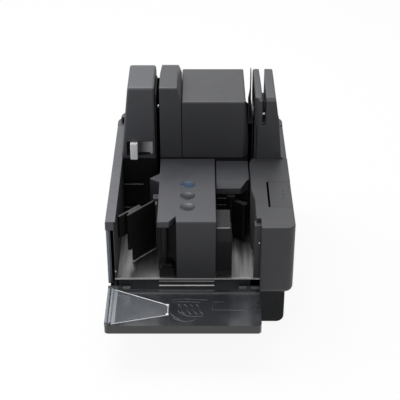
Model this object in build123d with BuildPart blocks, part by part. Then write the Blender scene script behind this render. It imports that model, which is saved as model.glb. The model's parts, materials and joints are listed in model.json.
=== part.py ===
from build123d import *
import math
import os

# Desktop cheque scanner. Millimetres, +X right, +Y to the rear, +Z up.
# The origin is on the table, under the middle of the machine with its front tray folded down.
# Cheques stand on their long edge. They go from the right bay along the right track, round the
# turn at the rear, and forward along the left track into the left bay.

# ---------------------------------------------------------------- main planes
half_width = 95.0  # outer faces of the side casings
bay_depth = 129.0  # front plane to the front faces of the rear blocks
block_depth = 75.0  # rear blocks, front to back
rear_depth = 22.0  # rear casing, front to back
tray_reach = 65.5  # folded-down tray, ahead of the front plane
casing_top = 129.0
casing_bottom = 48.0
foot_height = 2.0

# front plane of the left wall, the tower and the floor
front_y = (tray_reach - bay_depth - block_depth - rear_depth) / 2
bay_y = front_y + bay_depth
blocks_rear_y = bay_y + block_depth
rear_y = blocks_rear_y + rear_depth

# ---------------------------------------------------------------- shared fits and walls
skin = 2.2  # wall of every outer moulding
seam = 0.3  # parting gap between neighbouring pieces
running = 0.05  # radial clearance of a shaft in its bearing
wide = 200.0  # longer than any piece that is cut through

# ---------------------------------------------------------------- base
base_side_set = 7.0  # inside the casings' outer faces
base_wall = 2.5
base_floor = 3.0
base_corner = 10.0
base_bottom_radius = 8.0
base_edge_radius = 2.0
base_set_back = 1.5  # behind the front plane
base_rear_set = 4.0  # ahead of the rear casing's rear face
foot_radius = 8.0
foot_recess = 1.2
screw_radius = 1.5
screw_head_radius = 3.0
screw_head_height = 1.8
screw_length = 14.0
standoff_radius = 4.0
standoff_inset_x = 12.0  # from the base's side
standoff_inset_y = 13.0  # from the base's front and rear
foot_inset_x = 22.0
foot_inset_y = 32.0

base_half_width = half_width - base_side_set
base_front_y = front_y + base_set_back
base_rear_y = rear_y - base_rear_set
base_mid_y = (base_front_y + base_rear_y) / 2
base_depth = base_rear_y - base_front_y
pan_floor_z = foot_height + base_floor
standoff_x = base_half_width - standoff_inset_x
standoff_pitch_y = base_depth - 2 * standoff_inset_y
foot_x = base_half_width - foot_inset_x
foot_pitch_y = base_depth - 2 * foot_inset_y

# ---------------------------------------------------------------- floor plate
floor_top = 60.0
floor_thickness = 1.5
floor_half_width = half_width - 7.6
floor_under = floor_top - floor_thickness
floor_rear_y = blocks_rear_y + 12.0

# ---------------------------------------------------------------- document track
track_gap = 3.4
drum_left_x = -43.4  # inner face of the left track
drum_right_x = 52.7  # inner face of the right track
turn_start = 31.0  # behind the blocks' front face, where the track starts to turn
paper_top = 170.0  # highest cheque edge, with clearance
guide_sheet = 1.2
drum_top = casing_top - 0.3

left_guide_x = drum_left_x - track_gap
right_guide_x = drum_right_x + track_gap
turn_x = (drum_left_x + drum_right_x) / 2
turn_y = bay_y + turn_start
drum_radius = (drum_right_x - drum_left_x) / 2
guide_radius = drum_radius + track_gap

# ---------------------------------------------------------------- side walls
left_wall_width = 10.0
left_seam_depth = 111.0  # front plane to the seam across the left wall
flange_width = 7.3
cap_height = 10.0  # closed cap at the wall's front end
strip_set_back = 5.0
strip_thickness = 3.0
strip_width = 2.7

left_wall_inner_x = -half_width + left_wall_width
left_seam_y = front_y + left_seam_depth
slot_right_x = left_wall_inner_x - skin
slot_left_x = -half_width + skin
strip_front_y = front_y + strip_set_back
skin_front_y = strip_front_y + strip_thickness
flange_top = casing_bottom + skin


def save(builder, name):
    """Label the finished piece and write it as its own STEP file."""
    builder.part.label = name
    export_step(builder.part, f"parts/{name}.step")


def bar(low, high, mode=Mode.ADD):
    """A box between two corners, added to or cut from the piece being built."""
    centre = tuple((a + b) / 2 for a, b in zip(low, high))
    size = tuple(b - a for a, b in zip(low, high))
    with Locations(centre):
        Box(*size, mode=mode)


def post(x, y, low, high, radius, mode=Mode.ADD):
    """An upright cylinder from one height to another."""
    with Locations((x, y, (low + high) / 2)):
        Cylinder(radius, high - low, mode=mode)


def rod(low, high, radius, mode=Mode.ADD):
    """A cylinder along Y or X, between two end points that differ on that axis alone."""
    along_y = high[1] != low[1]
    centre = tuple((a + b) / 2 for a, b in zip(low, high))
    length = (high[1] - low[1]) if along_y else (high[0] - low[0])
    turn = (90, 0, 0) if along_y else (0, 90, 0)
    with Locations(centre):
        Cylinder(radius, length, rotation=turn, mode=mode)


def outline_along_y(points, near_y, far_y):
    """A solid of an XZ outline between two Y planes."""
    with BuildPart() as body:
        with BuildSketch(Plane.XZ.offset(-far_y)):
            with BuildLine():
                Polyline(*points, close=True)
            make_face()
        extrude(amount=far_y - near_y)
    return body.part


def outline_along_x(points, low_x, high_x):
    """A solid of a YZ outline between two X planes."""
    with BuildPart() as body:
        with BuildSketch(Plane.YZ.offset(low_x)):
            with BuildLine():
                Polyline(*points, close=True)
            make_face()
        extrude(amount=high_x - low_x)
    return body.part


def outline_upright(points, low, high):
    """A solid of a plan outline between two heights."""
    with BuildPart() as body:
        with BuildSketch(Plane.XY.offset(low)):
            with BuildLine():
                Polyline(*points, close=True)
            make_face()
        extrude(amount=high - low)
    return body.part


def turn_zone(radius, top):
    """The space that the cheque's turn sweeps behind the drum, up to a height."""
    with BuildPart() as zone:
        with BuildSketch(Plane.XY.offset(casing_bottom)):
            with Locations((turn_x, turn_y + wide / 2)):
                Rectangle(wide, wide)
            with Locations((turn_x, turn_y)):
                Circle(radius, mode=Mode.SUBTRACT)
        extrude(amount=top - casing_bottom)
    return zone.part


os.makedirs("parts", exist_ok=True)

# ---------------------------------------------------------------- base pan, feet, screws

# inlet and socket openings in the base's rear wall
inlet_x = -58.0
inlet_width = 12.0
inlet_height = 10.0
socket_x = -36.0
socket_width = 13.0
socket_height = 11.0
board_under = 12.0
board_thickness = 1.6
board_top = board_under + board_thickness
sill_thickness = 3.0
sill_half_width = half_width - 11.0
tray_pin_radius = 1.5
tray_axis_set = 2.0  # tray hinge, ahead of the front plane
tray_axis_z = 48.5
tray_lug_width = 4.0
tray_lug_left_x = -84.0
tray_lug_right_x = 48.0
tray_axis_y = front_y - tray_axis_set
lug_radius = 3.0
drive_screw_z = foot_height + screw_head_height

with BuildPart() as base_pan:
    bar(
        (-base_half_width, base_front_y, foot_height),
        (base_half_width, base_rear_y, casing_bottom),
    )
    fillet(base_pan.edges().filter_by(Axis.Y).group_by(Axis.Z)[0], base_bottom_radius)
    fillet(base_pan.edges().filter_by(Axis.X).group_by(Axis.Z)[0], base_edge_radius)
    with BuildSketch(Plane.XY.offset(pan_floor_z)):
        with Locations((0, base_mid_y)):
            RectangleRounded(
                2 * (base_half_width - base_wall),
                base_depth - 2 * base_wall,
                base_corner - base_wall,
            )
    extrude(amount=casing_bottom, mode=Mode.SUBTRACT)
    # fill the rounded bottom edge from inside, so the wall keeps its thickness
    with BuildSketch(Plane.XY.offset(foot_height + base_floor)):
        with Locations((0, base_mid_y)):
            RectangleRounded(2 * (base_half_width - base_wall), base_depth - 2 * base_wall, 6)
            RectangleRounded(
                2 * (base_half_width - 2 * base_wall),
                base_depth - 4 * base_wall,
                4,
                mode=Mode.SUBTRACT,
            )
    extrude(amount=base_wall)
    # sill under the floor's front edge, with the tray's hinge lugs
    bar(
        (-sill_half_width, base_front_y, casing_bottom - 4),
        (tray_lug_right_x + tray_lug_width, base_front_y + sill_thickness, floor_under),
    )
    for lug_x in (tray_lug_left_x, tray_lug_right_x):
        rod(
            (lug_x, tray_axis_y, tray_axis_z),
            (lug_x + tray_lug_width, tray_axis_y, tray_axis_z),
            lug_radius,
        )
        bar(
            (lug_x, tray_axis_y, tray_axis_z - lug_radius),
            (lug_x + tray_lug_width, base_front_y + 1, tray_axis_z + lug_radius),
        )
        rod(
            (lug_x - 1, tray_axis_y, tray_axis_z),
            (lug_x + tray_lug_width + 1, tray_axis_y, tray_axis_z),
            tray_pin_radius,
            mode=Mode.SUBTRACT,
        )
    # screws, feet and rear openings
    with Locations((0, base_mid_y, foot_height + screw_head_height / 2)):
        with GridLocations(2 * standoff_x, standoff_pitch_y, 2, 2):
            Cylinder(screw_head_radius + 0.2, screw_head_height, mode=Mode.SUBTRACT)
    with Locations((0, base_mid_y, foot_height)):
        with GridLocations(2 * standoff_x, standoff_pitch_y, 2, 2):
            Cylinder(screw_radius + 0.2, 3 * base_floor, mode=Mode.SUBTRACT)
    with Locations((0, base_mid_y, foot_height + foot_recess / 2)):
        with GridLocations(2 * foot_x, foot_pitch_y, 2, 2):
            Cylinder(foot_radius + 0.2, foot_recess, mode=Mode.SUBTRACT)
    bar(
        (inlet_x - inlet_width / 2 - 0.2, base_rear_y - 2 * base_wall, board_top),
        (inlet_x + inlet_width / 2 + 0.2, base_rear_y + 1, board_top + inlet_height + 0.2),
        mode=Mode.SUBTRACT,
    )
    bar(
        (socket_x - socket_width / 2 - 0.2, base_rear_y - 2 * base_wall, board_top),
        (socket_x + socket_width / 2 + 0.2, base_rear_y + 1, board_top + socket_height + 0.2),
        mode=Mode.SUBTRACT,
    )
save(base_pan, "base_pan")

with BuildPart() as rubber_feet:
    with Locations((0, base_mid_y, (foot_height + foot_recess) / 2)):
        with GridLocations(2 * foot_x, foot_pitch_y, 2, 2):
            Cylinder(foot_radius, foot_height + foot_recess)
save(rubber_feet, "rubber_feet")

with BuildPart() as base_screws:
    with Locations((0, base_mid_y, drive_screw_z - screw_head_height / 2)):
        with GridLocations(2 * standoff_x, standoff_pitch_y, 2, 2):
            Cylinder(screw_head_radius, screw_head_height)
    with Locations((0, base_mid_y, drive_screw_z + screw_length / 2)):
        with GridLocations(2 * standoff_x, standoff_pitch_y, 2, 2):
            Cylinder(screw_radius, screw_length)
save(base_screws, "base_screws")

with BuildPart() as floor_standoffs:
    with Locations((0, base_mid_y, (pan_floor_z + floor_under) / 2)):
        with GridLocations(2 * standoff_x, standoff_pitch_y, 2, 2):
            Cylinder(standoff_radius, floor_under - pan_floor_z)
    with Locations((0, base_mid_y, pan_floor_z + screw_length / 2)):
        with GridLocations(2 * standoff_x, standoff_pitch_y, 2, 2):
            Cylinder(screw_radius + running, screw_length, mode=Mode.SUBTRACT)
save(floor_standoffs, "floor_standoffs")

# ---------------------------------------------------------------- drive places
shaft_radius = 2.5
roller_radius = 8.0
roller_low = 74.0
roller_high = 96.0
nip_gap = 0.3
pulley_radius = 7.5
motor_pulley_radius = 5.0
pulley_low = 50.2
pulley_high = 56.2
feed_depth = 100.0  # front plane to the feed rollers
feed_nip_x = 52.8
exit_set = 10.0  # exit rollers, ahead of the start of the turn
motor_x = 10.0
motor_depth = 95.0
shaft_bottom = 46.0
pin_radius = 1.5

feed_y = front_y + feed_depth
exit_y = turn_y - exit_set
motor_y = front_y + motor_depth
exit_nip_x = drum_left_x - track_gap / 2
feed_shaft_x = feed_nip_x + nip_gap / 2 + roller_radius
feed_idler_x = feed_nip_x - nip_gap / 2 - roller_radius
exit_shaft_x = exit_nip_x - nip_gap / 2 - roller_radius
exit_idler_x = exit_nip_x + nip_gap / 2 + roller_radius

# pocket paddle and press arm pivots
paddle_pivot_x = -45.8
paddle_pivot_y = front_y + 56.0
arm_pivot_x = 33.0
arm_pivot_y = front_y + 79.5
fixed_pins = (
    (feed_idler_x, feed_y),
    (exit_idler_x, exit_y),
    (paddle_pivot_x, paddle_pivot_y),
    (arm_pivot_x, arm_pivot_y),
)

with BuildPart() as floor_plate:
    bar(
        (-floor_half_width, front_y, floor_under),
        (drum_right_x + 8.4, floor_rear_y, floor_top),
    )
    bar(
        (drum_right_x, front_y, floor_under),
        (floor_half_width, floor_rear_y, floor_top),
    )
    for shaft_x, shaft_y in ((feed_shaft_x, feed_y), (exit_shaft_x, exit_y)):
        post(shaft_x, shaft_y, floor_under - 1, floor_top + 1, shaft_radius + running, Mode.SUBTRACT)
    post(motor_x, motor_y, floor_under - 1, floor_top + 1, 4, Mode.SUBTRACT)
    for pin_x, pin_y in fixed_pins:
        post(pin_x, pin_y, floor_under - 1, floor_top + 1, pin_radius, Mode.SUBTRACT)
save(floor_plate, "floor_plate")

# ---------------------------------------------------------------- left wall casings
deck_right_x = left_guide_x - guide_sheet - seam
deck_front_y = bay_y + skin + seam
cover_pivot_x = 11.8 - half_width
cover_pivot_z = 133.0
cover_ear_radius = 2.6
cover_pin_radius = 1.2
ear_width = 4.0
front_ear_y = bay_y + 12.0
rear_ear_y = bay_y + 60.0


def left_wall(near_y, far_y):
    """A length of the left wall: outer skin, top, inner skin on the floor plate, bottom flange."""
    outline = (
        (-half_width, casing_bottom),
        (-half_width, casing_top),
        (left_wall_inner_x, casing_top),
        (left_wall_inner_x, floor_top),
        (slot_right_x, floor_top),
        (slot_right_x, casing_top - skin),
        (slot_left_x, casing_top - skin),
        (slot_left_x, flange_top),
        (slot_left_x + flange_width, flange_top),
        (slot_left_x + flange_width, casing_bottom),
    )
    return outline_along_y(outline, near_y, far_y)


with BuildPart() as left_front_casing:
    add(left_wall(front_y, left_seam_y - seam))
    bar(
        (-half_width, front_y, casing_top - cap_height),
        (left_wall_inner_x, front_y + skin, casing_top),
    )
    # the front end below the cap: the strip's seat, and room for the tray's hinge
    bar(
        (-half_width - 1, front_y - 1, casing_bottom - 1),
        (slot_left_x + 0.6, skin_front_y, casing_top - cap_height),
        mode=Mode.SUBTRACT,
    )
    bar(
        (-half_width - 1, front_y - 1, casing_bottom - 1),
        (slot_left_x + flange_width + 1, base_front_y + 3, flange_top + 1),
        mode=Mode.SUBTRACT,
    )
    bar(
        (slot_right_x - 0.1, front_y - 1, floor_top - 1),
        (left_wall_inner_x + 1, front_y + 1.2, casing_top - cap_height),
        mode=Mode.SUBTRACT,
    )
    top_outer = left_front_casing.edges().filter_by(Axis.Y).group_by(Axis.Z)[-1].sort_by(Axis.X)[0]
    fillet(top_outer, 1.5)
save(left_front_casing, "left_front_casing")

with BuildPart() as left_end_strip:
    bar(
        (-half_width + 0.1, strip_front_y, flange_top + 0.5),
        (-half_width + 0.1 + strip_width, skin_front_y, casing_top - cap_height - 0.2),
    )
save(left_end_strip, "left_end_strip")

with BuildPart() as left_rear_casing:
    add(left_wall(left_seam_y, blocks_rear_y - seam))
    bar(
        (slot_right_x, deck_front_y, casing_top - skin),
        (deck_right_x, blocks_rear_y - seam, casing_top),
    )
    for ear_y in (front_ear_y, rear_ear_y):
        bar(
            (cover_pivot_x - cover_ear_radius, ear_y, casing_top - skin),
            (cover_pivot_x + cover_ear_radius, ear_y + ear_width, cover_pivot_z),
        )
        rod(
            (cover_pivot_x, ear_y, cover_pivot_z),
            (cover_pivot_x, ear_y + ear_width, cover_pivot_z),
            cover_ear_radius,
        )
        rod(
            (cover_pivot_x, ear_y - 1, cover_pivot_z),
            (cover_pivot_x, ear_y + ear_width + 1, cover_pivot_z),
            cover_pin_radius,
            mode=Mode.SUBTRACT,
        )
    post(exit_shaft_x, exit_y, casing_top - skin - 1, casing_top + 1, shaft_radius + running, Mode.SUBTRACT)
    edge = left_rear_casing.edges().filter_by(Axis.Y).group_by(Axis.X)[0].sort_by(Axis.Z)[-1]
    fillet(edge, 1.5)
save(left_rear_casing, "left_rear_casing")

# ---------------------------------------------------------------- rear casing
rear_top = 137.0
rear_corner = 14.0
rear_top_inset = 4.0  # the raised rear wall is narrower than the sides
rear_crest = 16.0  # front-to-back depth of the raised part

def rear_shell(inset):
    """The rear casing's form, drawn in from its outer faces by an inset."""
    with BuildPart() as shell:
        with BuildSketch(Plane.XY.offset(casing_bottom)) as lower:
            with Locations((0, (blocks_rear_y + rear_y) / 2 - inset)):
                Rectangle(2 * (half_width - inset), rear_depth)
            fillet(lower.vertices().group_by(Axis.Y)[-1], rear_corner - inset)
        extrude(amount=casing_top - inset - casing_bottom)
        with BuildSketch(Plane.XY.offset(casing_top - inset - 1)) as upper:
            with Locations((0, rear_y - inset - rear_crest / 2)):
                Rectangle(2 * (half_width - rear_top_inset - inset), rear_crest)
            fillet(upper.vertices().group_by(Axis.Y)[-1], rear_corner - inset)
        extrude(amount=rear_top - casing_top + 1)
    return shell.part


with BuildPart() as rear_casing:
    add(rear_shell(0))
    fillet(rear_casing.faces().sort_by(Axis.Z)[-1].edges().filter_by(GeomType.LINE), 1.5)
    add(rear_shell(skin), mode=Mode.SUBTRACT)
    # seat on the base's rim
    with BuildSketch(Plane.XY.offset(casing_bottom)) as flange:
        with Locations((0, (blocks_rear_y + rear_y) / 2)):
            Rectangle(2 * half_width, rear_depth)
        fillet(flange.vertices().group_by(Axis.Y)[-1], rear_corner)
        with Locations((0, (blocks_rear_y + base_rear_y) / 2 - base_wall)):
            Rectangle(2 * (base_half_width - base_wall), base_rear_y - blocks_rear_y, mode=Mode.SUBTRACT)
    extrude(amount=skin)
    post(turn_x, turn_y, floor_under, rear_top + 1, guide_radius + guide_sheet + seam, Mode.SUBTRACT)
save(rear_casing, "rear_casing")

# ---------------------------------------------------------------- right front casing
right_seam_depth = 126.7
right_inner_x = 61.3
right_nose = 10.7  # the casing stands ahead of the front plane
right_corner = 8.0
wall_bulge_x = 53.6
wall_front_x = 56.6
lid_left_x = 71.8
lid_near = 28.0
lid_length = 50.0
lid_skirt = 11.8
lid_pin_radius = 0.8
lid_knuckle = 1.6
knuckle_length = 6.0
finger_slit = 2.2
bay_shelf_top = 90.0
roller_window = 10.0

right_seam_y = front_y + right_seam_depth
nose_y = front_y - right_nose
lid_near_y = front_y + lid_near
lid_far_y = lid_near_y + lid_length
lid_pin_x = half_width - lid_knuckle
lid_pin_z = casing_top - lid_skirt
bearing_web_z = 116.0

with BuildPart() as right_front_casing:
    with BuildSketch(Plane.XY.offset(floor_top)):
        with BuildLine():
            Polyline(
                (right_inner_x, nose_y),
                (half_width, nose_y),
                (half_width, right_seam_y),
                (right_guide_x, right_seam_y),
                (wall_bulge_x, right_seam_y - 8),
                (wall_bulge_x, front_y + 62),
                (wall_front_x, front_y + 41),
                (wall_front_x, front_y + 7),
                (right_inner_x, front_y + 7),
                close=True,
            )
        make_face()
    extrude(amount=casing_top - floor_top)
    bar((right_inner_x, nose_y, casing_bottom), (half_width, right_seam_y, floor_top))
    front_corner = right_front_casing.edges().filter_by(Axis.Z).group_by(Axis.X)[-1].group_by(Axis.Y)[0]
    fillet(front_corner, right_corner)
    low_edge = right_front_casing.edges().filter_by(Axis.Y).group_by(Axis.X)[-1].sort_by(Axis.Z)[0]
    fillet(low_edge, right_corner - 1)
    # pillar of the inner wall, with a rounded head
    bar((wall_front_x - 1.8, front_y + 0.5, floor_top), (right_inner_x, front_y + 10, casing_top - 5))
    # inside
    with BuildSketch(Plane.XY.offset(floor_top)):
        with BuildLine():
            Polyline(
                (right_inner_x + skin, nose_y + skin),
                (half_width - skin - 3, nose_y + skin),
                (half_width - skin, nose_y + skin + 5),
                (half_width - skin, right_seam_y + 1),
                (right_guide_x + skin, right_seam_y + 1),
                (wall_bulge_x + skin, right_seam_y - 8),
                (wall_bulge_x + skin, front_y + 62),
                (wall_front_x + skin, front_y + 41),
                (wall_front_x + skin, front_y + 12.2),
                (right_inner_x + skin, front_y + 12.2),
                close=True,
            )
        make_face()
    extrude(amount=casing_top - skin - floor_top, mode=Mode.SUBTRACT)
    bar(
        (right_inner_x + skin, nose_y + skin, flange_top + 3),
        (half_width - skin - 3, front_y + 1.5, floor_top + 1),
        mode=Mode.SUBTRACT,
    )
    bar(
        (right_inner_x - 1, front_y - 0.3, flange_top + 5),
        (half_width - skin, right_seam_y + 1, floor_top),
        mode=Mode.SUBTRACT,
    )
    bar(
        (right_inner_x - 1, front_y - 0.3, casing_bottom - 1),
        (base_half_width - base_wall, right_seam_y + 1, flange_top + 6),
        mode=Mode.SUBTRACT,
    )
    # imprinter bay: shelf, opening and finger slit
    bar(
        (lid_left_x - 4, lid_near_y - 3, bay_shelf_top - skin),
        (half_width - skin, lid_far_y + 3, bay_shelf_top),
    )
    bar(
        (lid_left_x - finger_slit, lid_near_y, casing_top - skin - 1),
        (half_width + 1, lid_far_y, casing_top + 1),
        mode=Mode.SUBTRACT,
    )
    bar(
        (lid_pin_x - lid_knuckle - 0.4, lid_near_y, lid_pin_z - lid_knuckle - 0.4),
        (half_width + 1, lid_far_y, casing_top - skin),
        mode=Mode.SUBTRACT,
    )
    for knuckle_y in (lid_near_y, lid_far_y - knuckle_length):
        bar(
            (lid_pin_x - lid_knuckle, knuckle_y, lid_pin_z - lid_knuckle - 2),
            (half_width, knuckle_y + knuckle_length, lid_pin_z),
        )
        rod(
            (lid_pin_x, knuckle_y, lid_pin_z),
            (lid_pin_x, knuckle_y + knuckle_length, lid_pin_z),
            lid_knuckle,
        )
    rod(
        (lid_pin_x, lid_near_y, lid_pin_z),
        (lid_pin_x, lid_far_y, lid_pin_z),
        lid_pin_radius,
        mode=Mode.SUBTRACT,
    )
    # upper bearing of the feed shaft, and the roller's window
    bar(
        (wall_bulge_x + skin - 0.5, feed_y - 6, bearing_web_z),
        (feed_shaft_x + 8, feed_y + 6, casing_top - skin),
    )
    post(feed_shaft_x, feed_y, roller_low, casing_top - 5, shaft_radius + running, Mode.SUBTRACT)
    bar(
        (wall_bulge_x - 1, feed_y - roller_window, roller_low - 1),
        (wall_bulge_x + skin + 1, feed_y + roller_window, roller_high + 1),
        mode=Mode.SUBTRACT,
    )
    crown = right_front_casing.edges().filter_by(Axis.X).group_by(Axis.Z)[-1].sort_by(Axis.Y)[0]
    fillet(crown, 1.5)
save(right_front_casing, "right_front_casing")

with BuildPart() as imprinter_lid:
    bar(
        (lid_left_x, lid_near_y + seam, casing_top - skin),
        (half_width, lid_far_y - seam, casing_top),
    )
    bar(
        (half_width - skin, lid_near_y + seam, lid_pin_z + lid_knuckle + 0.3),
        (half_width, lid_far_y - seam, casing_top),
    )
    bar(
        (half_width - skin, lid_near_y + knuckle_length + seam, lid_pin_z),
        (half_width, lid_far_y - knuckle_length - seam, casing_top),
    )
    rod(
        (lid_pin_x, lid_near_y + knuckle_length + seam, lid_pin_z),
        (lid_pin_x, lid_far_y - knuckle_length - seam, lid_pin_z),
        lid_knuckle,
    )
    rod(
        (lid_pin_x, lid_near_y, lid_pin_z),
        (lid_pin_x, lid_far_y, lid_pin_z),
        lid_pin_radius + running,
        mode=Mode.SUBTRACT,
    )
    with Locations((half_width - 9, (lid_near_y + lid_far_y) / 2, casing_top)):
        with GridLocations(1, 7, 1, 3):
            Cylinder(0.9, 0.8)
    fillet(imprinter_lid.edges().filter_by(Axis.Y).group_by(Axis.X)[-1].sort_by(Axis.Z)[-1], 1.5)
save(imprinter_lid, "imprinter_lid")

cartridge_height = 32.0
with BuildPart() as ink_cartridge:
    bar(
        (lid_left_x + 1.5, lid_near_y + 3, bay_shelf_top),
        (lid_pin_x - lid_knuckle - 1.5, lid_far_y - 3, bay_shelf_top + cartridge_height),
    )
    fillet(ink_cartridge.edges().filter_by(Axis.Z), 2)
    # print head on the side that faces the track
    bar(
        (lid_left_x - 2.5, lid_near_y + 18, bay_shelf_top + 4),
        (lid_left_x + 2, lid_near_y + 32, bay_shelf_top + 18),
    )
save(ink_cartridge, "ink_cartridge")

# ---------------------------------------------------------------- fin housing with card slot
fin_left_x = 58.6
fin_top = 201.5
card_slot_left_x = 66.5
card_slot_width = 3.5
card_slot_floor = 171.0
fin_foot_x = half_width - 6.7
fin_waist_x = half_width - 10.4
fin_waist_z = 174.0
outer_fin_right_x = half_width - 14.4
fin_crown = 3.0
slot_flare_left = 1.0
slot_flare_right = 1.8
fin_edge_radius = 2.2

card_slot_right_x = card_slot_left_x + card_slot_width

with BuildPart() as fin_housing:
    add(
        outline_along_y(
            (
                (right_inner_x, casing_bottom),
                (half_width, casing_bottom),
                (half_width, casing_top - 2),
                (fin_foot_x, casing_top + 2),
                (fin_waist_x, fin_waist_z),
                (outer_fin_right_x, fin_top),
                (card_slot_right_x, fin_top),
                (card_slot_right_x, card_slot_floor),
                (card_slot_left_x, card_slot_floor),
                (card_slot_left_x, fin_top),
                (fin_left_x, fin_top),
                (fin_left_x, floor_top),
                (right_inner_x, floor_top),
            ),
            right_seam_y + seam,
            blocks_rear_y - seam,
        )
    )
    rear_crown = fin_housing.edges().filter_by(Axis.X).group_by(Axis.Y)[-1].filter_by(
        lambda e: e.center().Z > fin_top - 1
    )
    fillet(rear_crown, fin_crown)
    front_crown = fin_housing.edges().filter_by(Axis.X).group_by(Axis.Y)[0].filter_by(
        lambda e: e.center().Z > fin_top - 1
    )
    chamfer(front_crown, 3)
    # bevel on the inner fin's front left edge
    bevel = fin_housing.edges().filter_by(Axis.Z).filter_by(
        lambda e: e.center().X < fin_left_x + 0.1 and e.center().Y < bay_y
    )
    chamfer(bevel, 5)
    outer_edges = fin_housing.edges().filter_by(Axis.Y).filter_by(
        lambda e: e.center().Z > fin_top - 1
    )
    outer_fin_width = outer_fin_right_x - card_slot_right_x
    fillet(outer_edges, min(fin_edge_radius, outer_fin_width / 4))
    # the slot opens out towards its rear end
    add(
        outline_upright(
            (
                (card_slot_left_x - slot_flare_left, blocks_rear_y + 1),
                (card_slot_left_x, bay_y + 30),
                (card_slot_right_x, bay_y + 30),
                (card_slot_right_x + slot_flare_right, blocks_rear_y + 1),
            ),
            card_slot_floor,
            fin_top + 1,
        ),
        mode=Mode.SUBTRACT,
    )
    # inside
    add(
        outline_along_y(
            (
                (fin_left_x + skin, floor_top - 8),
                (half_width - skin, floor_top - 8),
                (half_width - skin, casing_top - 2 * skin),
                (fin_foot_x - skin, casing_top),
                (fin_waist_x - skin, card_slot_floor - skin),
                (fin_left_x + skin, card_slot_floor - skin),
            ),
            right_seam_y + seam + skin,
            blocks_rear_y - seam - skin,
        ),
        mode=Mode.SUBTRACT,
    )
    bar(
        (right_inner_x - 5, right_seam_y, casing_bottom - 1),
        (base_half_width - base_wall, blocks_rear_y, floor_top),
        mode=Mode.SUBTRACT,
    )
    bar(
        (base_half_width - base_wall - 1, right_seam_y, flange_top),
        (half_width - skin, blocks_rear_y, floor_top),
        mode=Mode.SUBTRACT,
    )
save(fin_housing, "fin_housing")

# ---------------------------------------------------------------- control tower
tower_left_x = -43.0
tower_right_x = 16.0
tower_face_x = -24.0  # left edge of the tower's full-height front face
tower_length = 127.0
recess_depth = 16.0
panel_thickness = 2.7
overhang_thickness = 6.5
nib_x = -53.4
nib_depth = 85.4
nib_near_depth = 78.0
nib_far_depth = 95.0
notch_x = -31.6
notch_depth = 10.8
button_x = -13.0
button_depths = (72.3, 49.5, 28.2)
button_radius = 7.2
button_travel = 1.0
button_rim = 1.2  # radial width of the retaining rim under the panel
led_depth = 86.5
led_radius = 1.0

panel_under = casing_top - panel_thickness
tower_rear_y = front_y + tower_length
nib_y = front_y + nib_depth
lug_top = panel_under - 2

with BuildPart() as tower_housing:
    with BuildSketch(Plane.XY.offset(floor_top)):
        with BuildLine():
            Polyline(
                (tower_face_x, front_y),
                (tower_right_x, front_y),
                (tower_right_x, tower_rear_y),
                (tower_left_x, tower_rear_y),
                (tower_left_x, front_y + nib_far_depth),
                (nib_x, nib_y),
                (tower_left_x, front_y + nib_near_depth),
                (tower_left_x, front_y + recess_depth),
                (tower_face_x, front_y + recess_depth),
                close=True,
            )
        make_face()
    extrude(amount=panel_under - floor_top)
    fillet(tower_housing.edges().filter_by(Axis.Z).group_by(Axis.Y)[0].sort_by(Axis.X)[-1], 1.2)
    with BuildSketch(Plane.XY.offset(floor_top)):
        with BuildLine():
            Polyline(
                (tower_face_x + skin, front_y + skin),
                (tower_right_x - skin, front_y + skin),
                (tower_right_x - skin, tower_rear_y - skin),
                (tower_left_x + skin, tower_rear_y - skin),
                (tower_left_x + skin, front_y + recess_depth + skin),
                (tower_face_x + skin, front_y + recess_depth + skin),
                close=True,
            )
        make_face()
    extrude(amount=panel_under - floor_top, mode=Mode.SUBTRACT)
    # lug that steadies the top of the paddle's pin
    bar(
        (paddle_pivot_x - 3, paddle_pivot_y - 4, lug_top - 2.5),
        (tower_left_x + 1, paddle_pivot_y + 4, lug_top),
    )
    post(paddle_pivot_x, paddle_pivot_y, lug_top - 4, lug_top + 1, pin_radius, Mode.SUBTRACT)
    # ledge that carries the panel's board
    for ledge_y in (front_y + skin, tower_rear_y - skin - 4):
        bar(
            (tower_face_x + skin - 0.5, ledge_y - 0.5, panel_under - 7),
            (tower_right_x - skin + 0.5, ledge_y + 4, panel_under - 5),
        )
save(tower_housing, "tower_housing")

with BuildPart() as control_panel:
    with BuildSketch(Plane.XY.offset(panel_under)):
        with BuildLine():
            Polyline(
                (tower_left_x, front_y),
                (notch_x, front_y),
                (tower_face_x - 0.8, front_y + notch_depth),
                (tower_face_x + 0.2, front_y),
                (tower_right_x, front_y),
                (tower_right_x, tower_rear_y),
                (tower_left_x, tower_rear_y),
                (tower_left_x, front_y + nib_far_depth),
                (nib_x, nib_y),
                (tower_left_x, front_y + nib_near_depth),
                close=True,
            )
        make_face()
    extrude(amount=panel_thickness)
    with BuildSketch(Plane.XY.offset(casing_top - overhang_thickness)):
        with BuildLine():
            Polyline(
                (tower_left_x, front_y),
                (notch_x, front_y),
                (tower_face_x - 0.8, front_y + notch_depth),
                (tower_face_x - 0.3, front_y + recess_depth - 0.3),
                (tower_left_x, front_y + recess_depth - 0.3),
                close=True,
            )
        make_face()
    extrude(amount=overhang_thickness - 1)
    chamfer(control_panel.faces().sort_by(Axis.Z)[-1].edges(), 0.5)
    for depth in button_depths:
        hole_radius = button_radius + seam
        post(button_x, front_y + depth, panel_under - 1, casing_top + 1, hole_radius, Mode.SUBTRACT)
    post(button_x, front_y + led_depth, panel_under - 1, casing_top + 1, led_radius + 0.1, Mode.SUBTRACT)
save(control_panel, "control_panel")

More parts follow.
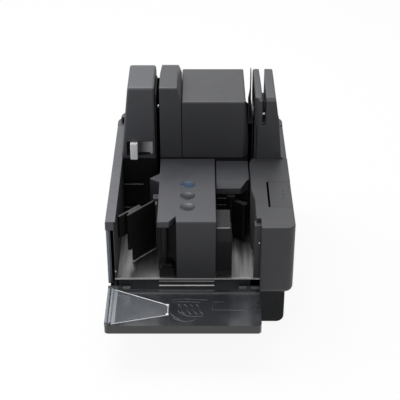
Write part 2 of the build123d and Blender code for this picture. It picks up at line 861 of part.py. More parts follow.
board_z = panel_under - 5.0
panel_board_thickness = 1.2
switch_height = 0.8
with BuildPart() as panel_board:
    bar(
        (tower_face_x + skin + 0.3, front_y + skin + 0.3, board_z),
        (tower_right_x - skin - 0.3, tower_rear_y - skin - 0.3, board_z + panel_board_thickness),
    )
    for depth in button_depths:
        post(button_x, front_y + depth, board_z + 1, board_z + panel_board_thickness + switch_height, 3)
    # status lamp's light pipe
    post(button_x, front_y + led_depth, board_z + 1, casing_top + 0.2, led_radius)
save(panel_board, "panel_board")

rim_top = panel_under - seam
rim_low = rim_top - 1.2
stem_low = board_z + panel_board_thickness + switch_height + button_travel + 0.3


def make_button(name, depth):
    """A round key: dished crown above the panel, retaining rim below it, stem to its switch."""
    with BuildPart() as button:
        post(button_x, front_y + depth, rim_low, casing_top + 0.4, button_radius)
        post(button_x, front_y + depth, rim_low, rim_top, button_radius + button_rim)
        post(button_x, front_y + depth, stem_low, rim_low, 2.5)
        fillet(button.faces().sort_by(Axis.Z)[-1].edges(), 0.6)
        with Locations((button_x, front_y + depth, casing_top + 40)):
            Sphere(40.2, mode=Mode.SUBTRACT)
    save(button, name)


for button_name, button_depth in zip(("power_button", "start_button", "stop_button"), button_depths):
    make_button(button_name, button_depth)

strip_bar = 1.2
tower_strip_left_x = -42.5
tower_strip_right_x = 14.6
with BuildPart() as tower_foot_strips:
    for strip_z in (50.1, 55.4):
        bar(
            (tower_strip_left_x, base_front_y - strip_bar, strip_z),
            (tower_strip_right_x, base_front_y, strip_z + strip_bar),
        )
save(tower_foot_strips, "tower_foot_strips")

# idler and its block in the recess under the panel's overhang
idler_x = -36.0
idler_depth = 9.2
idler_radius = 3.7
idler_low = 82.5
idler_high = 119.4
idler_pin_radius = 1.2
bracket_top = 74.6
idler_y = front_y + idler_depth

with BuildPart() as guide_bracket:
    bar((-41.9, front_y + 3, floor_top), (-26.5, front_y + recess_depth - 0.3, bracket_top - 4))
    bar((-39.5, front_y + 4.5, floor_top), (-29, front_y + recess_depth - 0.3, bracket_top))
    post(idler_x, idler_y, bracket_top - 3, idler_low - 0.3, 2.2)
    post(idler_x, idler_y, bracket_top - 3, idler_low, idler_pin_radius, Mode.SUBTRACT)
save(guide_bracket, "guide_bracket")

with BuildPart() as guide_idler:
    post(idler_x, idler_y, idler_low, idler_high, idler_radius)
    fillet(guide_idler.edges().filter_by(GeomType.CIRCLE), 1)
    post(idler_x, idler_y, idler_low - 1, idler_high + 1, idler_pin_radius + running, Mode.SUBTRACT)
save(guide_idler, "guide_idler")

# ---------------------------------------------------------------- left bay
back_wall_left_x = left_wall_inner_x + 0.2
with BuildPart() as pocket_back_wall:
    bar((back_wall_left_x, bay_y, floor_top), (deck_right_x, bay_y + skin, casing_top - skin))
    for rib_z, rib_right_x in ((97.5, -62.0), (67.3, -70.0)):
        bar((back_wall_left_x, bay_y - 4, rib_z - 1.5), (rib_right_x, bay_y + 1, rib_z))
save(pocket_back_wall, "pocket_back_wall")

paddle_angle = 42.4  # from the depth axis, towards the left wall
paddle_foot_length = 36.0
paddle_length = 42.0
paddle_thickness = 2.0
paddle_low = 62.0
paddle_step = 78.0
paddle_top = 121.0
hub_radius = 2.4
wing_low = 95.0
wing_start = 20.0
wing_length = 50.0
wing_offset = 5.0
wing_rib_end = 38.0
wing_rib_low = 118.0

coil_seat_z = 115.0  # top of the paddle's hub, where its spring sits

half_plate = paddle_thickness / 2
wing_far = -wing_offset - half_plate
paddle_plane = Plane(
    origin=(paddle_pivot_x, paddle_pivot_y, 0),
    x_dir=(-math.sin(math.radians(paddle_angle)), -math.cos(math.radians(paddle_angle)), 0),
    z_dir=(0, 0, 1),
)


def paddle_slab(start, end, near, far, low, high):
    """A flat piece in the paddle's own axes: along it, across it (rear side negative), and height."""
    with BuildPart() as slab:
        with BuildSketch(paddle_plane.offset(low)):
            with Locations(((start + end) / 2, (near + far) / 2)):
                Rectangle(end - start, far - near)
        extrude(amount=high - low)
    return slab.part


with BuildPart() as pocket_paddle:
    add(paddle_slab(0, paddle_foot_length, -half_plate, half_plate, paddle_low, paddle_step + 1))
    add(paddle_slab(0, paddle_length, -half_plate, half_plate, paddle_step, paddle_top))
    # thinner wing behind the plate, reaching the left wall, and its thick upper rib
    add(paddle_slab(wing_start, wing_length, wing_far, wing_far + paddle_thickness, wing_low, paddle_top))
    add(paddle_slab(wing_start, wing_rib_end, wing_far, half_plate, wing_rib_low, paddle_top))
    post(paddle_pivot_x, paddle_pivot_y, coil_seat_z, paddle_top + 1, hub_radius + 0.6, Mode.SUBTRACT)
    post(paddle_pivot_x, paddle_pivot_y, paddle_low, coil_seat_z, hub_radius)
    bore_radius = pin_radius + running
    post(paddle_pivot_x, paddle_pivot_y, paddle_low - 1, paddle_top + 1, bore_radius, Mode.SUBTRACT)
save(pocket_paddle, "pocket_paddle")

# ---------------------------------------------------------------- left track cover and release lever
cover_top = 213.4
cover_low = casing_top + 0.3
cover_left_x = 9.0 - half_width
cover_top_left_x = cover_left_x + 9.0
cover_right_x = left_guide_x - guide_sheet - 0.5
cover_crown = 22.0
cover_rear_y = blocks_rear_y - 1
window_left_x = cover_left_x + 6.0
window_right_x = -50.7
window_low = 131.5
window_high = 149.0
knuckle_gap = 0.3
lever_pin_x = -52.8
lever_pin_y = bay_y + 4.3
lever_pin_radius = 1.0
lever_low = 134.0
lever_high = 148.5


def crowned_block(points, near_y, far_y, crown_radius, edge_radius, side_radius):
    """An XZ outline run along Y, with its top rear edge well rounded and its top edges eased."""
    with BuildPart() as block:
        add(outline_along_y(points, near_y, far_y))
        crown = block.edges().filter_by(Axis.X).group_by(Axis.Y)[-1].sort_by(Axis.Z)[-1]
        fillet(crown, crown_radius)
        if edge_radius:
            brow = block.edges().filter_by(Axis.X).group_by(Axis.Y)[0].sort_by(Axis.Z)[-1]
            fillet(brow, edge_radius)
        if side_radius:
            fillet(block.edges().filter_by(Axis.Y).group_by(Axis.Z)[-1], side_radius)
    return block.part


with BuildPart() as left_track_cover:
    add(
        crowned_block(
            (
                (cover_left_x, cover_low),
                (cover_right_x, cover_low),
                (cover_right_x, cover_top),
                (cover_top_left_x, cover_top),
            ),
            bay_y,
            cover_rear_y,
            cover_crown,
            3.0,
            2.6,
        )
    )
    add(
        crowned_block(
            (
                (cover_left_x + skin + 0.1, cover_low - 1),
                (cover_right_x - skin, cover_low - 1),
                (cover_right_x - skin, cover_top - skin),
                (cover_top_left_x + skin, cover_top - skin),
            ),
            bay_y + skin,
            cover_rear_y - skin,
            cover_crown - skin,
            0,
            0,
        ),
        mode=Mode.SUBTRACT,
    )
    # the bottom left edge swings past the deck
    bar(
        (cover_left_x - 1, bay_y - 1, cover_low - 1),
        (cover_pivot_x, cover_rear_y + 1, cover_pivot_z - 2),
        mode=Mode.SUBTRACT,
    )
    for ear_y in (front_ear_y, rear_ear_y):
        bar(
            (cover_left_x - 1, ear_y - knuckle_gap, cover_low - 1),
            (cover_pivot_x + cover_ear_radius + 1, ear_y + ear_width + knuckle_gap, cover_pivot_z + 4),
            mode=Mode.SUBTRACT,
        )
        rod(
            (cover_pivot_x, ear_y + ear_width + knuckle_gap, cover_pivot_z),
            (cover_pivot_x, ear_y + 2 * ear_width, cover_pivot_z),
            cover_ear_radius,
        )
        rod(
            (cover_pivot_x, ear_y - 1, cover_pivot_z),
            (cover_pivot_x, ear_y + 2 * ear_width + 1, cover_pivot_z),
            cover_pin_radius + running,
            mode=Mode.SUBTRACT,
        )
    # window and the ears of the lever's pin
    bar(
        (window_left_x, bay_y - 1, window_low),
        (window_right_x, bay_y + skin + 0.1, window_high),
        mode=Mode.SUBTRACT,
    )
    for ear_low, ear_high in ((cover_low, window_low + 1), (window_high + 0.3, window_high + 3)):
        bar(
            (lever_pin_x - 3, bay_y + skin - 0.5, ear_low),
            (cover_right_x - skin + 0.5, lever_pin_y + 2.5, ear_high),
        )
    post(lever_pin_x, lever_pin_y, cover_low - 1, window_high + 4, lever_pin_radius, Mode.SUBTRACT)
save(left_track_cover, "left_track_cover")

with BuildPart() as lever_plate:
    bar((-67.8, lever_pin_y - 0.6, lever_low), (lever_pin_x, lever_pin_y + 0.6, lever_high))
    post(lever_pin_x, lever_pin_y, window_low + 1.3, window_high, 1.8)
    post(lever_pin_x, lever_pin_y, window_low, window_high + 1, lever_pin_radius + running, Mode.SUBTRACT)
save(lever_plate, "lever_plate")

with BuildPart() as release_tab:
    bar((-75.8, bay_y - 4.5, 129.2), (-68.0, bay_y - 0.5, 148.0))
    bar((-75.8, bay_y - 1, lever_low), (-68.0, lever_pin_y + 0.6, 148.0))
    fillet(release_tab.edges().filter_by(Axis.Z).group_by(Axis.Y)[0], 1)
save(release_tab, "release_tab")

# ---------------------------------------------------------------- inner blocks above the drum
inner_cover_right_x = -20.2
inner_cover_top_right_x = -24.5
centre_top = 197.0
centre_left_x = -19.8
centre_top_right_x = 48.6
centre_slope_low = 150.0
centre_corner = 7.0
inner_crown = 21.0
centre_rear_y = blocks_rear_y + 8.0

with BuildPart() as inner_track_cover:
    add(
        crowned_block(
            (
                (drum_left_x, cover_low),
                (inner_cover_right_x, cover_low),
                (inner_cover_right_x, centre_top),
                (inner_cover_top_right_x, cover_top),
                (drum_left_x, cover_top),
            ),
            bay_y,
            cover_rear_y,
            inner_crown,
            2.0,
            0.8,
        )
    )
    # the rear left corner falls away
    add(
        outline_upright(
            (
                (drum_left_x - 1, bay_y + 35),
                (drum_left_x, bay_y + 35),
                (drum_left_x + 3, cover_rear_y + 1),
                (drum_left_x - 1, cover_rear_y + 1),
            ),
            cover_low - 1,
            cover_top + 1,
        ),
        mode=Mode.SUBTRACT,
    )
    add(turn_zone(drum_radius, paper_top), mode=Mode.SUBTRACT)
    add(
        outline_along_y(
            (
                (drum_left_x + skin, cover_low - 1),
                (inner_cover_right_x - skin, cover_low - 1),
                (inner_cover_right_x - skin, centre_top - skin),
                (drum_left_x + skin, centre_top - skin),
            ),
            bay_y + skin,
            turn_y - skin,
        ),
        mode=Mode.SUBTRACT,
    )
save(inner_track_cover, "inner_track_cover")

with BuildPart() as centre_housing:
    add(
        crowned_block(
            (
                (centre_left_x, cover_low),
                (drum_right_x, cover_low),
                (drum_right_x, centre_slope_low),
                (centre_top_right_x, centre_top),
                (centre_left_x, centre_top),
            ),
            bay_y,
            centre_rear_y,
            2.0,
            2.0,
            1.6,
        )
    )
    # broad bevel down the front right corner
    add(
        outline_upright(
            (
                (drum_right_x - centre_corner, bay_y - 1),
                (drum_right_x + 2, bay_y - 1),
                (drum_right_x + 2, bay_y + centre_corner + 1),
            ),
            cover_low - 1,
            centre_top + 1,
        ),
        mode=Mode.SUBTRACT,
    )
    add(turn_zone(drum_radius, paper_top), mode=Mode.SUBTRACT)
    add(
        outline_along_y(
            (
                (centre_left_x + skin, cover_low - 1),
                (centre_top_right_x - centre_corner, cover_low - 1),
                (centre_top_right_x - centre_corner, centre_top - skin),
                (centre_left_x + skin, centre_top - skin),
            ),
            bay_y + skin,
            turn_y - skin,
        ),
        mode=Mode.SUBTRACT,
    )
save(centre_housing, "centre_housing")

# ---------------------------------------------------------------- drum and track guides
sensor_near = 8.0  # image sensors, behind the blocks' front face
sensor_length = 12.0
sensor_top = 124.0
sensor_depth = 9.0

sensor_near_y = bay_y + sensor_near
sensor_far_y = sensor_near_y + sensor_length


def drum_outline(inset):
    """Plan of the inner guide: straight sides and a half round at the rear."""
    with BuildSketch() as plan:
        with Locations((turn_x, (bay_y + inset + turn_y) / 2)):
            Rectangle(2 * (drum_radius - inset), turn_y - bay_y - inset)
        with Locations((turn_x, turn_y)):
            Circle(drum_radius - inset)
        with Locations((turn_x, bay_y + inset - wide / 2)):
            Rectangle(wide, wide, mode=Mode.SUBTRACT)
    return plan.sketch


with BuildPart() as turn_drum:
    with BuildSketch(Plane.XY.offset(floor_top)):
        add(drum_outline(0))
    extrude(amount=drum_top - floor_top)
    with BuildSketch(Plane.XY.offset(floor_top)):
        add(drum_outline(skin))
    extrude(amount=drum_top - skin - floor_top, mode=Mode.SUBTRACT)
    post(exit_idler_x, exit_y, drum_top - skin - 1, drum_top + 1, pin_radius, Mode.SUBTRACT)
    bar(
        (drum_left_x - 1, exit_y - roller_window, roller_low - 1),
        (drum_left_x + skin + 1, exit_y + roller_window, roller_high + 1),
        mode=Mode.SUBTRACT,
    )
    bar(
        (drum_right_x - skin - 1, sensor_near_y - 0.2, floor_top - 1),
        (drum_right_x + 1, sensor_far_y + 0.2, sensor_top + 0.2),
        mode=Mode.SUBTRACT,
    )
save(turn_drum, "turn_drum")

with BuildPart() as turn_guide:
    with BuildSketch(Plane.XY.offset(floor_top)):
        with Locations((turn_x, turn_y)):
            Circle(guide_radius + guide_sheet)
            Circle(guide_radius, mode=Mode.SUBTRACT)
        with Locations((turn_x, turn_y - wide / 2)):
            Rectangle(wide, wide, mode=Mode.SUBTRACT)
    extrude(amount=paper_top - seam - floor_top)
save(turn_guide, "turn_guide")

left_plate_top = 205.0
left_plate_foot = 132.0  # lower edge of its rear end, above the drum
slot_rib_y = 14.0  # behind the start of the turn
slot_rib = 2.0

with BuildPart() as left_guide_plate:
    bar(
        (left_guide_x - guide_sheet, deck_front_y, floor_top),
        (left_guide_x, turn_y, left_plate_foot),
    )
    bar(
        (left_guide_x - guide_sheet, bay_y + 1, left_plate_foot),
        (left_guide_x, turn_y, left_plate_top),
    )
    bar(
        (left_guide_x - guide_sheet, turn_y - 1, paper_top),
        (left_guide_x, turn_y + 23, left_plate_top),
    )
    fillet(left_guide_plate.edges().filter_by(Axis.X).group_by(Axis.Z)[-1].sort_by(Axis.Y)[-1], 8)
    # rib that closes the slot's rear end, above the highest cheque
    bar(
        (left_guide_x - guide_sheet, turn_y + slot_rib_y, paper_top + 1),
        (drum_left_x + 0.3, turn_y + slot_rib_y + slot_rib, left_plate_top - 2),
    )
    bar(
        (left_guide_x - guide_sheet - 1, exit_y - roller_window, roller_low - 1),
        (left_guide_x + 1, exit_y + roller_window, roller_high + 1),
        mode=Mode.SUBTRACT,
    )
save(left_guide_plate, "left_guide_plate")

bow_front_x = 50.9
bow_top = 202.0
plate_thickness = 1.0
plate_front_y = bay_y + 2
bow_rear_y = blocks_rear_y - 1
bow_length = bow_rear_y - plate_front_y
bow_rise = right_guide_x - bow_front_x
bow_radius = (bow_length**2 + bow_rise**2) / (2 * bow_rise)
bow_angle = math.degrees(math.asin(bow_length / bow_radius))

with BuildPart() as right_guide_plate:
    bar(
        (right_guide_x, plate_front_y, floor_top),
        (right_guide_x + plate_thickness, turn_y, paper_top),
    )
    # above the cheques the plate bows to the left, on a ledge that covers the track
    with BuildSketch(Plane.XY.offset(paper_top)):
        with BuildLine():
            bow = JernArc((right_guide_x, bow_rear_y), (0, -1), bow_radius, -bow_angle)
            Line(bow @ 1, (right_guide_x + plate_thickness, plate_front_y))
            Line(
                (right_guide_x + plate_thickness, plate_front_y),
                (right_guide_x + plate_thickness, bow_rear_y),
            )
            Line((right_guide_x + plate_thickness, bow_rear_y), bow @ 0)
        make_face()
    extrude(amount=bow_top - paper_top)
    with BuildSketch(Plane.XY.offset(paper_top + plate_thickness)):
        with BuildLine():
            hollow = JernArc(
                (right_guide_x + plate_thickness, bow_rear_y),
                (0, -1),
                bow_radius - plate_thickness,
                -bow_angle,
            )
            Line(hollow @ 1, (right_guide_x + 2 * plate_thickness, plate_front_y - 1))
            Line(
                (right_guide_x + 2 * plate_thickness, plate_front_y - 1),
                (right_guide_x + 2 * plate_thickness, bow_rear_y),
            )
            Line((right_guide_x + 2 * plate_thickness, bow_rear_y), hollow @ 0)
        make_face()
    extrude(amount=bow_top, mode=Mode.SUBTRACT)
save(right_guide_plate, "right_guide_plate")

# ---------------------------------------------------------------- right bay
hopper_left_x = 17.3
hopper_right_x = 52.0
hopper_front_depth = 84.5
hopper_top = 112.0
hopper_cover_depth = 80.5
hopper_cover_top = 125.0
hopper_bevel = 6.5
hopper_corner = 10.0
magnet_depth = 116.0
magnet_length = 8.0

hopper_front_y = front_y + hopper_front_depth
hopper_rear_y = bay_y - seam
magnet_near_y = front_y + magnet_depth
magnet_far_y = magnet_near_y + magnet_length

with BuildPart() as hopper_back:
    bar((hopper_left_x, hopper_front_y, floor_top), (hopper_right_x, hopper_rear_y, hopper_top))
    bar(
        (hopper_left_x + skin, hopper_front_y + skin, floor_top - 1),
        (hopper_right_x - skin, hopper_rear_y - skin, hopper_top - skin),
        mode=Mode.SUBTRACT,
    )
    # paper ledges on the front wall
    for ledge_z in (98.0, 106.4):
        bar(
            (hopper_left_x + 1, hopper_front_y - 3, ledge_z - 1.6),
            (arm_pivot_x - 5, hopper_front_y + 1, ledge_z),
        )
    # lug over the press arm's pin
    bar(
        (arm_pivot_x - 4, arm_pivot_y - 4, hopper_top - 2.6),
        (arm_pivot_x + 4, hopper_front_y + 1, hopper_top),
    )
    post(arm_pivot_x, arm_pivot_y, hopper_top - 4, hopper_top + 1, pin_radius, Mode.SUBTRACT)
    post(feed_idler_x, feed_y, hopper_top - 4, hopper_top + 1, pin_radius, Mode.SUBTRACT)
    bar(
        (hopper_right_x - skin - 1, feed_y - roller_window, roller_low - 1),
        (hopper_right_x + 1, feed_y + roller_window, roller_high + 1),
        mode=Mode.SUBTRACT,
    )
    bar(
        (hopper_right_x - skin - 1, magnet_near_y - 0.2, floor_top - 1),
        (hopper_right_x + 1, magnet_far_y + 0.2, roller_high),
        mode=Mode.SUBTRACT,
    )
save(hopper_back, "hopper_back")

with BuildPart() as hopper_cover:
    add(
        outline_along_x(
            (
                (front_y + hopper_cover_depth, hopper_top + seam),
                (front_y + hopper_cover_depth, hopper_cover_top - 6),
                (front_y + hopper_cover_depth + hopper_bevel, hopper_cover_top),
                (hopper_rear_y, hopper_cover_top),
                (hopper_rear_y, hopper_top + seam),
            ),
            hopper_left_x,
            hopper_right_x,
        )
    )
    add(
        outline_upright(
            (
                (hopper_right_x - hopper_corner, front_y + hopper_cover_depth - 1),
                (hopper_right_x + 1, front_y + hopper_cover_depth - 1),
                (hopper_right_x + 1, front_y + hopper_cover_depth + hopper_corner),
            ),
            hopper_top,
            casing_top,
        ),
        mode=Mode.SUBTRACT,
    )
    bar(
        (hopper_left_x + skin, hopper_front_y + hopper_corner, hopper_top),
        (hopper_right_x - skin, hopper_rear_y - skin, hopper_cover_top - skin),
        mode=Mode.SUBTRACT,
    )
save(hopper_cover, "hopper_cover")

feed_block_left_x = 16.4
feed_block_right_x = 32.6
feed_block_near = 6.0
feed_block_far = 41.0
feed_block_top = 118.0
feed_block_split = 101.5
feed_rib_pitch = 2.6
feed_rib_count = 5
feed_rib_width = 1.2
feed_rib_depth = 1.0
cap_right_x = 30.6

block_near_y = front_y + feed_block_near
block_far_y = front_y + feed_block_far

with BuildPart() as feed_block:
    bar((feed_block_left_x, block_near_y, floor_top), (feed_block_right_x, block_far_y, feed_block_split))
    fillet(feed_block.edges().filter_by(Axis.Z).group_by(Axis.X)[-1], 1.5)
    # grooves down the front face
    feed_block_mid_x = (feed_block_left_x + feed_block_right_x) / 2
    with Locations((feed_block_mid_x, block_near_y, (floor_top + 3 + feed_block_split) / 2)):
        with GridLocations(feed_rib_pitch, 1, feed_rib_count, 1):
            Box(feed_rib_width, 2 * feed_rib_depth, feed_block_split - floor_top - 8, mode=Mode.SUBTRACT)
    bar(
        (feed_block_left_x + skin, block_near_y + 2 * skin, floor_top - 1),
        (feed_block_right_x - skin, block_far_y - skin, feed_block_split - skin),
        mode=Mode.SUBTRACT,
    )
    # paler cap, leaning in at its right side
    add(
        outline_along_y(
            (
                (feed_block_left_x, feed_block_split),
                (feed_block_right_x - 1.5, feed_block_split),
                (cap_right_x, feed_block_top),
                (feed_block_left_x, feed_block_top),
            ),
            block_near_y - 0.5,
            block_far_y,
        )
    )
    fillet(feed_block.faces().sort_by(Axis.Z)[-1].edges().filter_by(Axis.X), 1)
save(feed_block, "feed_block")

# press arm: a round-nosed flag that leans the cheques on the feed roller
arm_low = 66.0
arm_top = 107.0
arm_thickness = 5.0
arm_nose_x = 46.5
arm_nose_y = front_y + 70.0
arm_nose_radius = 3.4
arm_hub_radius = 3.8

arm_reach = math.hypot(arm_nose_x - arm_pivot_x, arm_nose_y - arm_pivot_y)
arm_plane = Plane(
    origin=(arm_pivot_x, arm_pivot_y, 0),
    x_dir=(arm_nose_x - arm_pivot_x, arm_nose_y - arm_pivot_y, 0),
    z_dir=(0, 0, 1),
)

with BuildPart() as press_arm:
    with BuildSketch(arm_plane.offset(arm_low)):
        with Locations((arm_reach / 2, 0)):
            Rectangle(arm_reach, arm_thickness)
        with Locations((arm_reach, 0)):
            Circle(arm_nose_radius)
    extrude(amount=arm_top - arm_low)
    post(arm_pivot_x, arm_pivot_y, arm_low, arm_top + 2, arm_hub_radius)
    post(arm_pivot_x, arm_pivot_y, arm_low - 1, arm_top + 3, pin_radius + running, Mode.SUBTRACT)
save(press_arm, "press_arm")

# ---------------------------------------------------------------- drive
motor_radius = 20.0
motor_height = 40.0
motor_boss_radius = 9.0
motor_boss_height = 2.0
rotor_shaft_radius = 2.0

with BuildPart() as motor:
    post(motor_x, motor_y, pan_floor_z, pan_floor_z + motor_height, motor_radius)
    motor_top = pan_floor_z + motor_height
    post(motor_x, motor_y, motor_top, motor_top + motor_boss_height, motor_boss_radius)
    post(motor_x, motor_y, pan_floor_z + 20, floor_top, rotor_shaft_radius + running, Mode.SUBTRACT)
save(motor, "motor")

with BuildPart() as motor_pulley:
    post(motor_x, motor_y, pan_floor_z + 22, pulley_high + 1, rotor_shaft_radius)
    post(motor_x, motor_y, pulley_low, pulley_high, motor_pulley_radius)
save(motor_pulley, "motor_pulley")


def drive_shaft(name, x, y, high):
    """An upright steel shaft with its belt pulley below the floor plate."""
    with BuildPart() as shaft:
        post(x, y, shaft_bottom, high, shaft_radius)
        post(x, y, pulley_low, pulley_high, pulley_radius)
        post(x, y, floor_top + seam, roller_low - seam, shaft_radius + 1)
    save(shaft, name)


def rubber_roller(name, x, y, bore):
    """A rubber sleeve with eased rims."""
    with BuildPart() as roller:
        post(x, y, roller_low, roller_high, roller_radius)
        fillet(roller.edges().filter_by(GeomType.CIRCLE), 0.8)
        post(x, y, roller_low - 1, roller_high + 1, bore, Mode.SUBTRACT)
    save(roller, name)


drive_shaft("feed_shaft", feed_shaft_x, feed_y, bearing_web_z + 5)
rubber_roller("feed_roller", feed_shaft_x, feed_y, shaft_radius)
drive_shaft("exit_shaft", exit_shaft_x, exit_y, casing_top)
rubber_roller("exit_roller", exit_shaft_x, exit_y, shaft_radius)
rubber_roller("feed_idler", feed_idler_x, feed_y, pin_radius + running)
rubber_roller("exit_idler", exit_idler_x, exit_y, pin_radius + running)

belt_thickness = 1.2
belt_gap = 0.1


def belt_loop(extra):
    """Plan of the belt's run round its three pulleys, at a distance outside them."""
    with BuildSketch() as loop:
        with Locations((motor_x, motor_y)):
            Circle(motor_pulley_radius + extra)
        with Locations((feed_shaft_x, feed_y), (exit_shaft_x, exit_y)):
            Circle(pulley_radius + extra)
        make_hull()
    return loop.sketch


with BuildPart() as drive_belt:
    with BuildSketch(Plane.XY.offset(pulley_low + 0.5)):
        add(belt_loop(belt_gap + belt_thickness))
        add(belt_loop(belt_gap), mode=Mode.SUBTRACT)
    extrude(amount=pulley_high - pulley_low - 1)
save(drive_belt, "drive_belt")

# ---------------------------------------------------------------- sensors and electronics
with BuildPart() as rear_image_sensor:
    bar(
        (drum_right_x - sensor_depth, sensor_near_y, floor_top),
        (drum_right_x - 0.2, sensor_far_y, sensor_top),
    )
save(rear_image_sensor, "rear_image_sensor")

with BuildPart() as front_image_sensor:
    bar(
        (fin_left_x + skin, sensor_near_y, floor_top),
        (fin_left_x + skin + sensor_depth, sensor_far_y, sensor_top),
    )
save(front_image_sensor, "front_image_sensor")

with BuildPart() as magnetic_ink_head:
    bar(
        (hopper_right_x - sensor_depth, magnet_near_y, floor_top),
        (hopper_right_x + 0.2, magnet_far_y, roller_high - 2),
    )
    fillet(magnetic_ink_head.edges().filter_by(Axis.Z).group_by(Axis.X)[-1], 1)
save(magnetic_ink_head, "magnetic_ink_head")

card_head_z = 182.0
with BuildPart() as card_head:
    bar(
        (card_slot_right_x - 0.4, bay_y + 20, card_head_z - 5),
        (card_slot_right_x, bay_y + 28, card_head_z + 5),
    )
save(card_head, "card_head")

board_left_x = -68.0
board_right_x = -14.0
board_near_y = bay_y - 6
board_far_y = base_rear_y - base_wall - 1
with BuildPart() as main_board:
    bar((board_left_x, board_near_y, board_under), (board_right_x, board_far_y, board_top))
    bar((-60, board_near_y + 8, board_top), (-42, board_near_y + 26, board_top + 3))
    bar((-36, board_near_y + 10, board_top), (-24, board_near_y + 22, board_top + 2))
    for can_x in (-60, -48):
        post(can_x, board_near_y + 42, board_top, board_top + 14, 4)
    for foot_at_x in (board_left_x + 3, board_right_x - 3):
        for foot_at_y in (board_near_y + 3, board_far_y - 6):
            post(foot_at_x, foot_at_y, pan_floor_z, board_under, 2.5)
save(main_board, "main_board")

with BuildPart() as power_inlet:
    bar(
        (inlet_x - inlet_width / 2, base_rear_y - 14, board_top),
        (inlet_x + inlet_width / 2, base_rear_y, board_top + inlet_height),
    )
    rod(
        (inlet_x, base_rear_y - 10, board_top + inlet_height / 2),
        (inlet_x, base_rear_y + 1, board_top + inlet_height / 2),
        3.2,
        mode=Mode.SUBTRACT,
    )
    rod(
        (inlet_x, base_rear_y - 11, board_top + inlet_height / 2),
        (inlet_x, base_rear_y - 1, board_top + inlet_height / 2),
        1.0,
    )
save(power_inlet, "power_inlet")

with BuildPart() as data_socket:
    bar(
        (socket_x - socket_width / 2, base_rear_y - 14, board_top),
        (socket_x + socket_width / 2, base_rear_y, board_top + socket_height),
    )
    bar(
        (socket_x - socket_width / 2 + 2, base_rear_y - 9, board_top + 2),
        (socket_x + socket_width / 2 - 2, base_rear_y + 1, board_top + socket_height - 2),
        mode=Mode.SUBTRACT,
    )
    bar(
        (socket_x - socket_width / 2 + 4, base_rear_y - 10, board_top + 4),
        (socket_x + socket_width / 2 - 4, base_rear_y - 1.5, board_top + socket_height - 4),
    )
save(data_socket, "data_socket")

# ---------------------------------------------------------------- front tray and clear flap
tray_left_x = -94.8
tray_right_x = 60.8
tray_top = 50.0
tray_thickness = 3.0
tray_skirt_z = 40.2
tray_skirt = 2.0
tray_lip = 2.4
tray_corner = 4.0
tray_rear_gap = 5.2
tray_knuckle = 3.0
flap_axis_x = -89.6
flap_axis_z = 50.5
flap_low = 48.9
flap_thickness = 1.3
flap_barrel = 1.6
flap_pin_radius = 0.75
flap_near_depth = 62.6  # ahead of the front plane, at the hinge side
flap_far_depth = 6.4
flap_tip_x = -32.0
flap_tip_near_depth = 48.4
flap_tip_far_depth = 31.9
flap_recess = 0.3
flap_ear = 2.0

tray_front_y = front_y - tray_reach
tray_rear_y = front_y - tray_rear_gap
flap_near_y = front_y - flap_near_depth
flap_far_y = front_y - flap_far_depth

with BuildPart() as front_tray:
    bar((tray_left_x, tray_front_y, tray_top - tray_thickness), (tray_right_x, tray_rear_y, tray_top))
    bar((tray_left_x, tray_front_y, tray_skirt_z), (tray_right_x, tray_front_y + tray_lip, tray_top))
    for skirt_x in (tray_left_x, tray_right_x - tray_skirt):
        bar((skirt_x, tray_front_y, tray_skirt_z), (skirt_x + tray_skirt, tray_rear_y - 5, tray_top))
    fillet(front_tray.edges().filter_by(Axis.Z).group_by(Axis.Y)[0], tray_corner)
    # knuckles outside and inside the base's lugs
    for low_x, high_x in (
        (tray_left_x, tray_lug_left_x - seam),
        (tray_lug_left_x + tray_lug_width + seam, tray_lug_left_x + 3 * tray_lug_width),
        (tray_lug_right_x - 2 * tray_lug_width, tray_lug_right_x - seam),
        (tray_lug_right_x + tray_lug_width + seam, tray_right_x),
    ):
        rod((low_x, tray_axis_y, tray_axis_z), (high_x, tray_axis_y, tray_axis_z), tray_knuckle)
        bar(
            (low_x, tray_rear_y - 1, tray_top - tray_thickness),
            (high_x, tray_axis_y, tray_top),
        )
    for low_x, high_x in (
        (tray_left_x + 2, tray_lug_left_x + 3 * tray_lug_width + 1),
        (tray_lug_right_x - 2 * tray_lug_width - 1, tray_right_x - 2),
    ):
        rod(
            (low_x, tray_axis_y, tray_axis_z),
            (high_x, tray_axis_y, tray_axis_z),
            tray_pin_radius + running,
            mode=Mode.SUBTRACT,
        )
    # recess that the flap lies in
    add(
        outline_upright(
            (
                (flap_axis_x - flap_barrel - 0.4, flap_near_y - 0.4),
                (flap_axis_x + 3, flap_near_y - 0.6),
                (flap_tip_x + 0.5, front_y - flap_tip_near_depth - 0.4),
                (flap_tip_x + 0.5, front_y - flap_tip_far_depth + 0.4),
                (flap_axis_x + 3, flap_far_y + 0.6),
                (flap_axis_x - flap_barrel - 0.4, flap_far_y + 0.4),
            ),
            flap_low - flap_recess,
            tray_top + 1,
        ),
        mode=Mode.SUBTRACT,
    )
    for ear_y in (flap_near_y - seam - flap_ear, flap_far_y + seam):
        rod((flap_axis_x, ear_y, flap_axis_z), (flap_axis_x, ear_y + flap_ear, flap_axis_z), flap_barrel)
    rod(
        (flap_axis_x, flap_near_y - flap_ear, flap_axis_z),
        (flap_axis_x, flap_far_y + flap_ear, flap_axis_z),
        flap_pin_radius,
        mode=Mode.SUBTRACT,
    )
save(front_tray, "front_tray")

with BuildPart() as flap_rail:
    bar(
        (tray_left_x + 0.1, flap_near_y, tray_top),
        (flap_axis_x - flap_barrel - 0.6, flap_far_y, tray_top + 2),
    )
    fillet(flap_rail.edges().filter_by(Axis.Y).group_by(Axis.Z)[-1], 0.9)
save(flap_rail, "flap_rail")

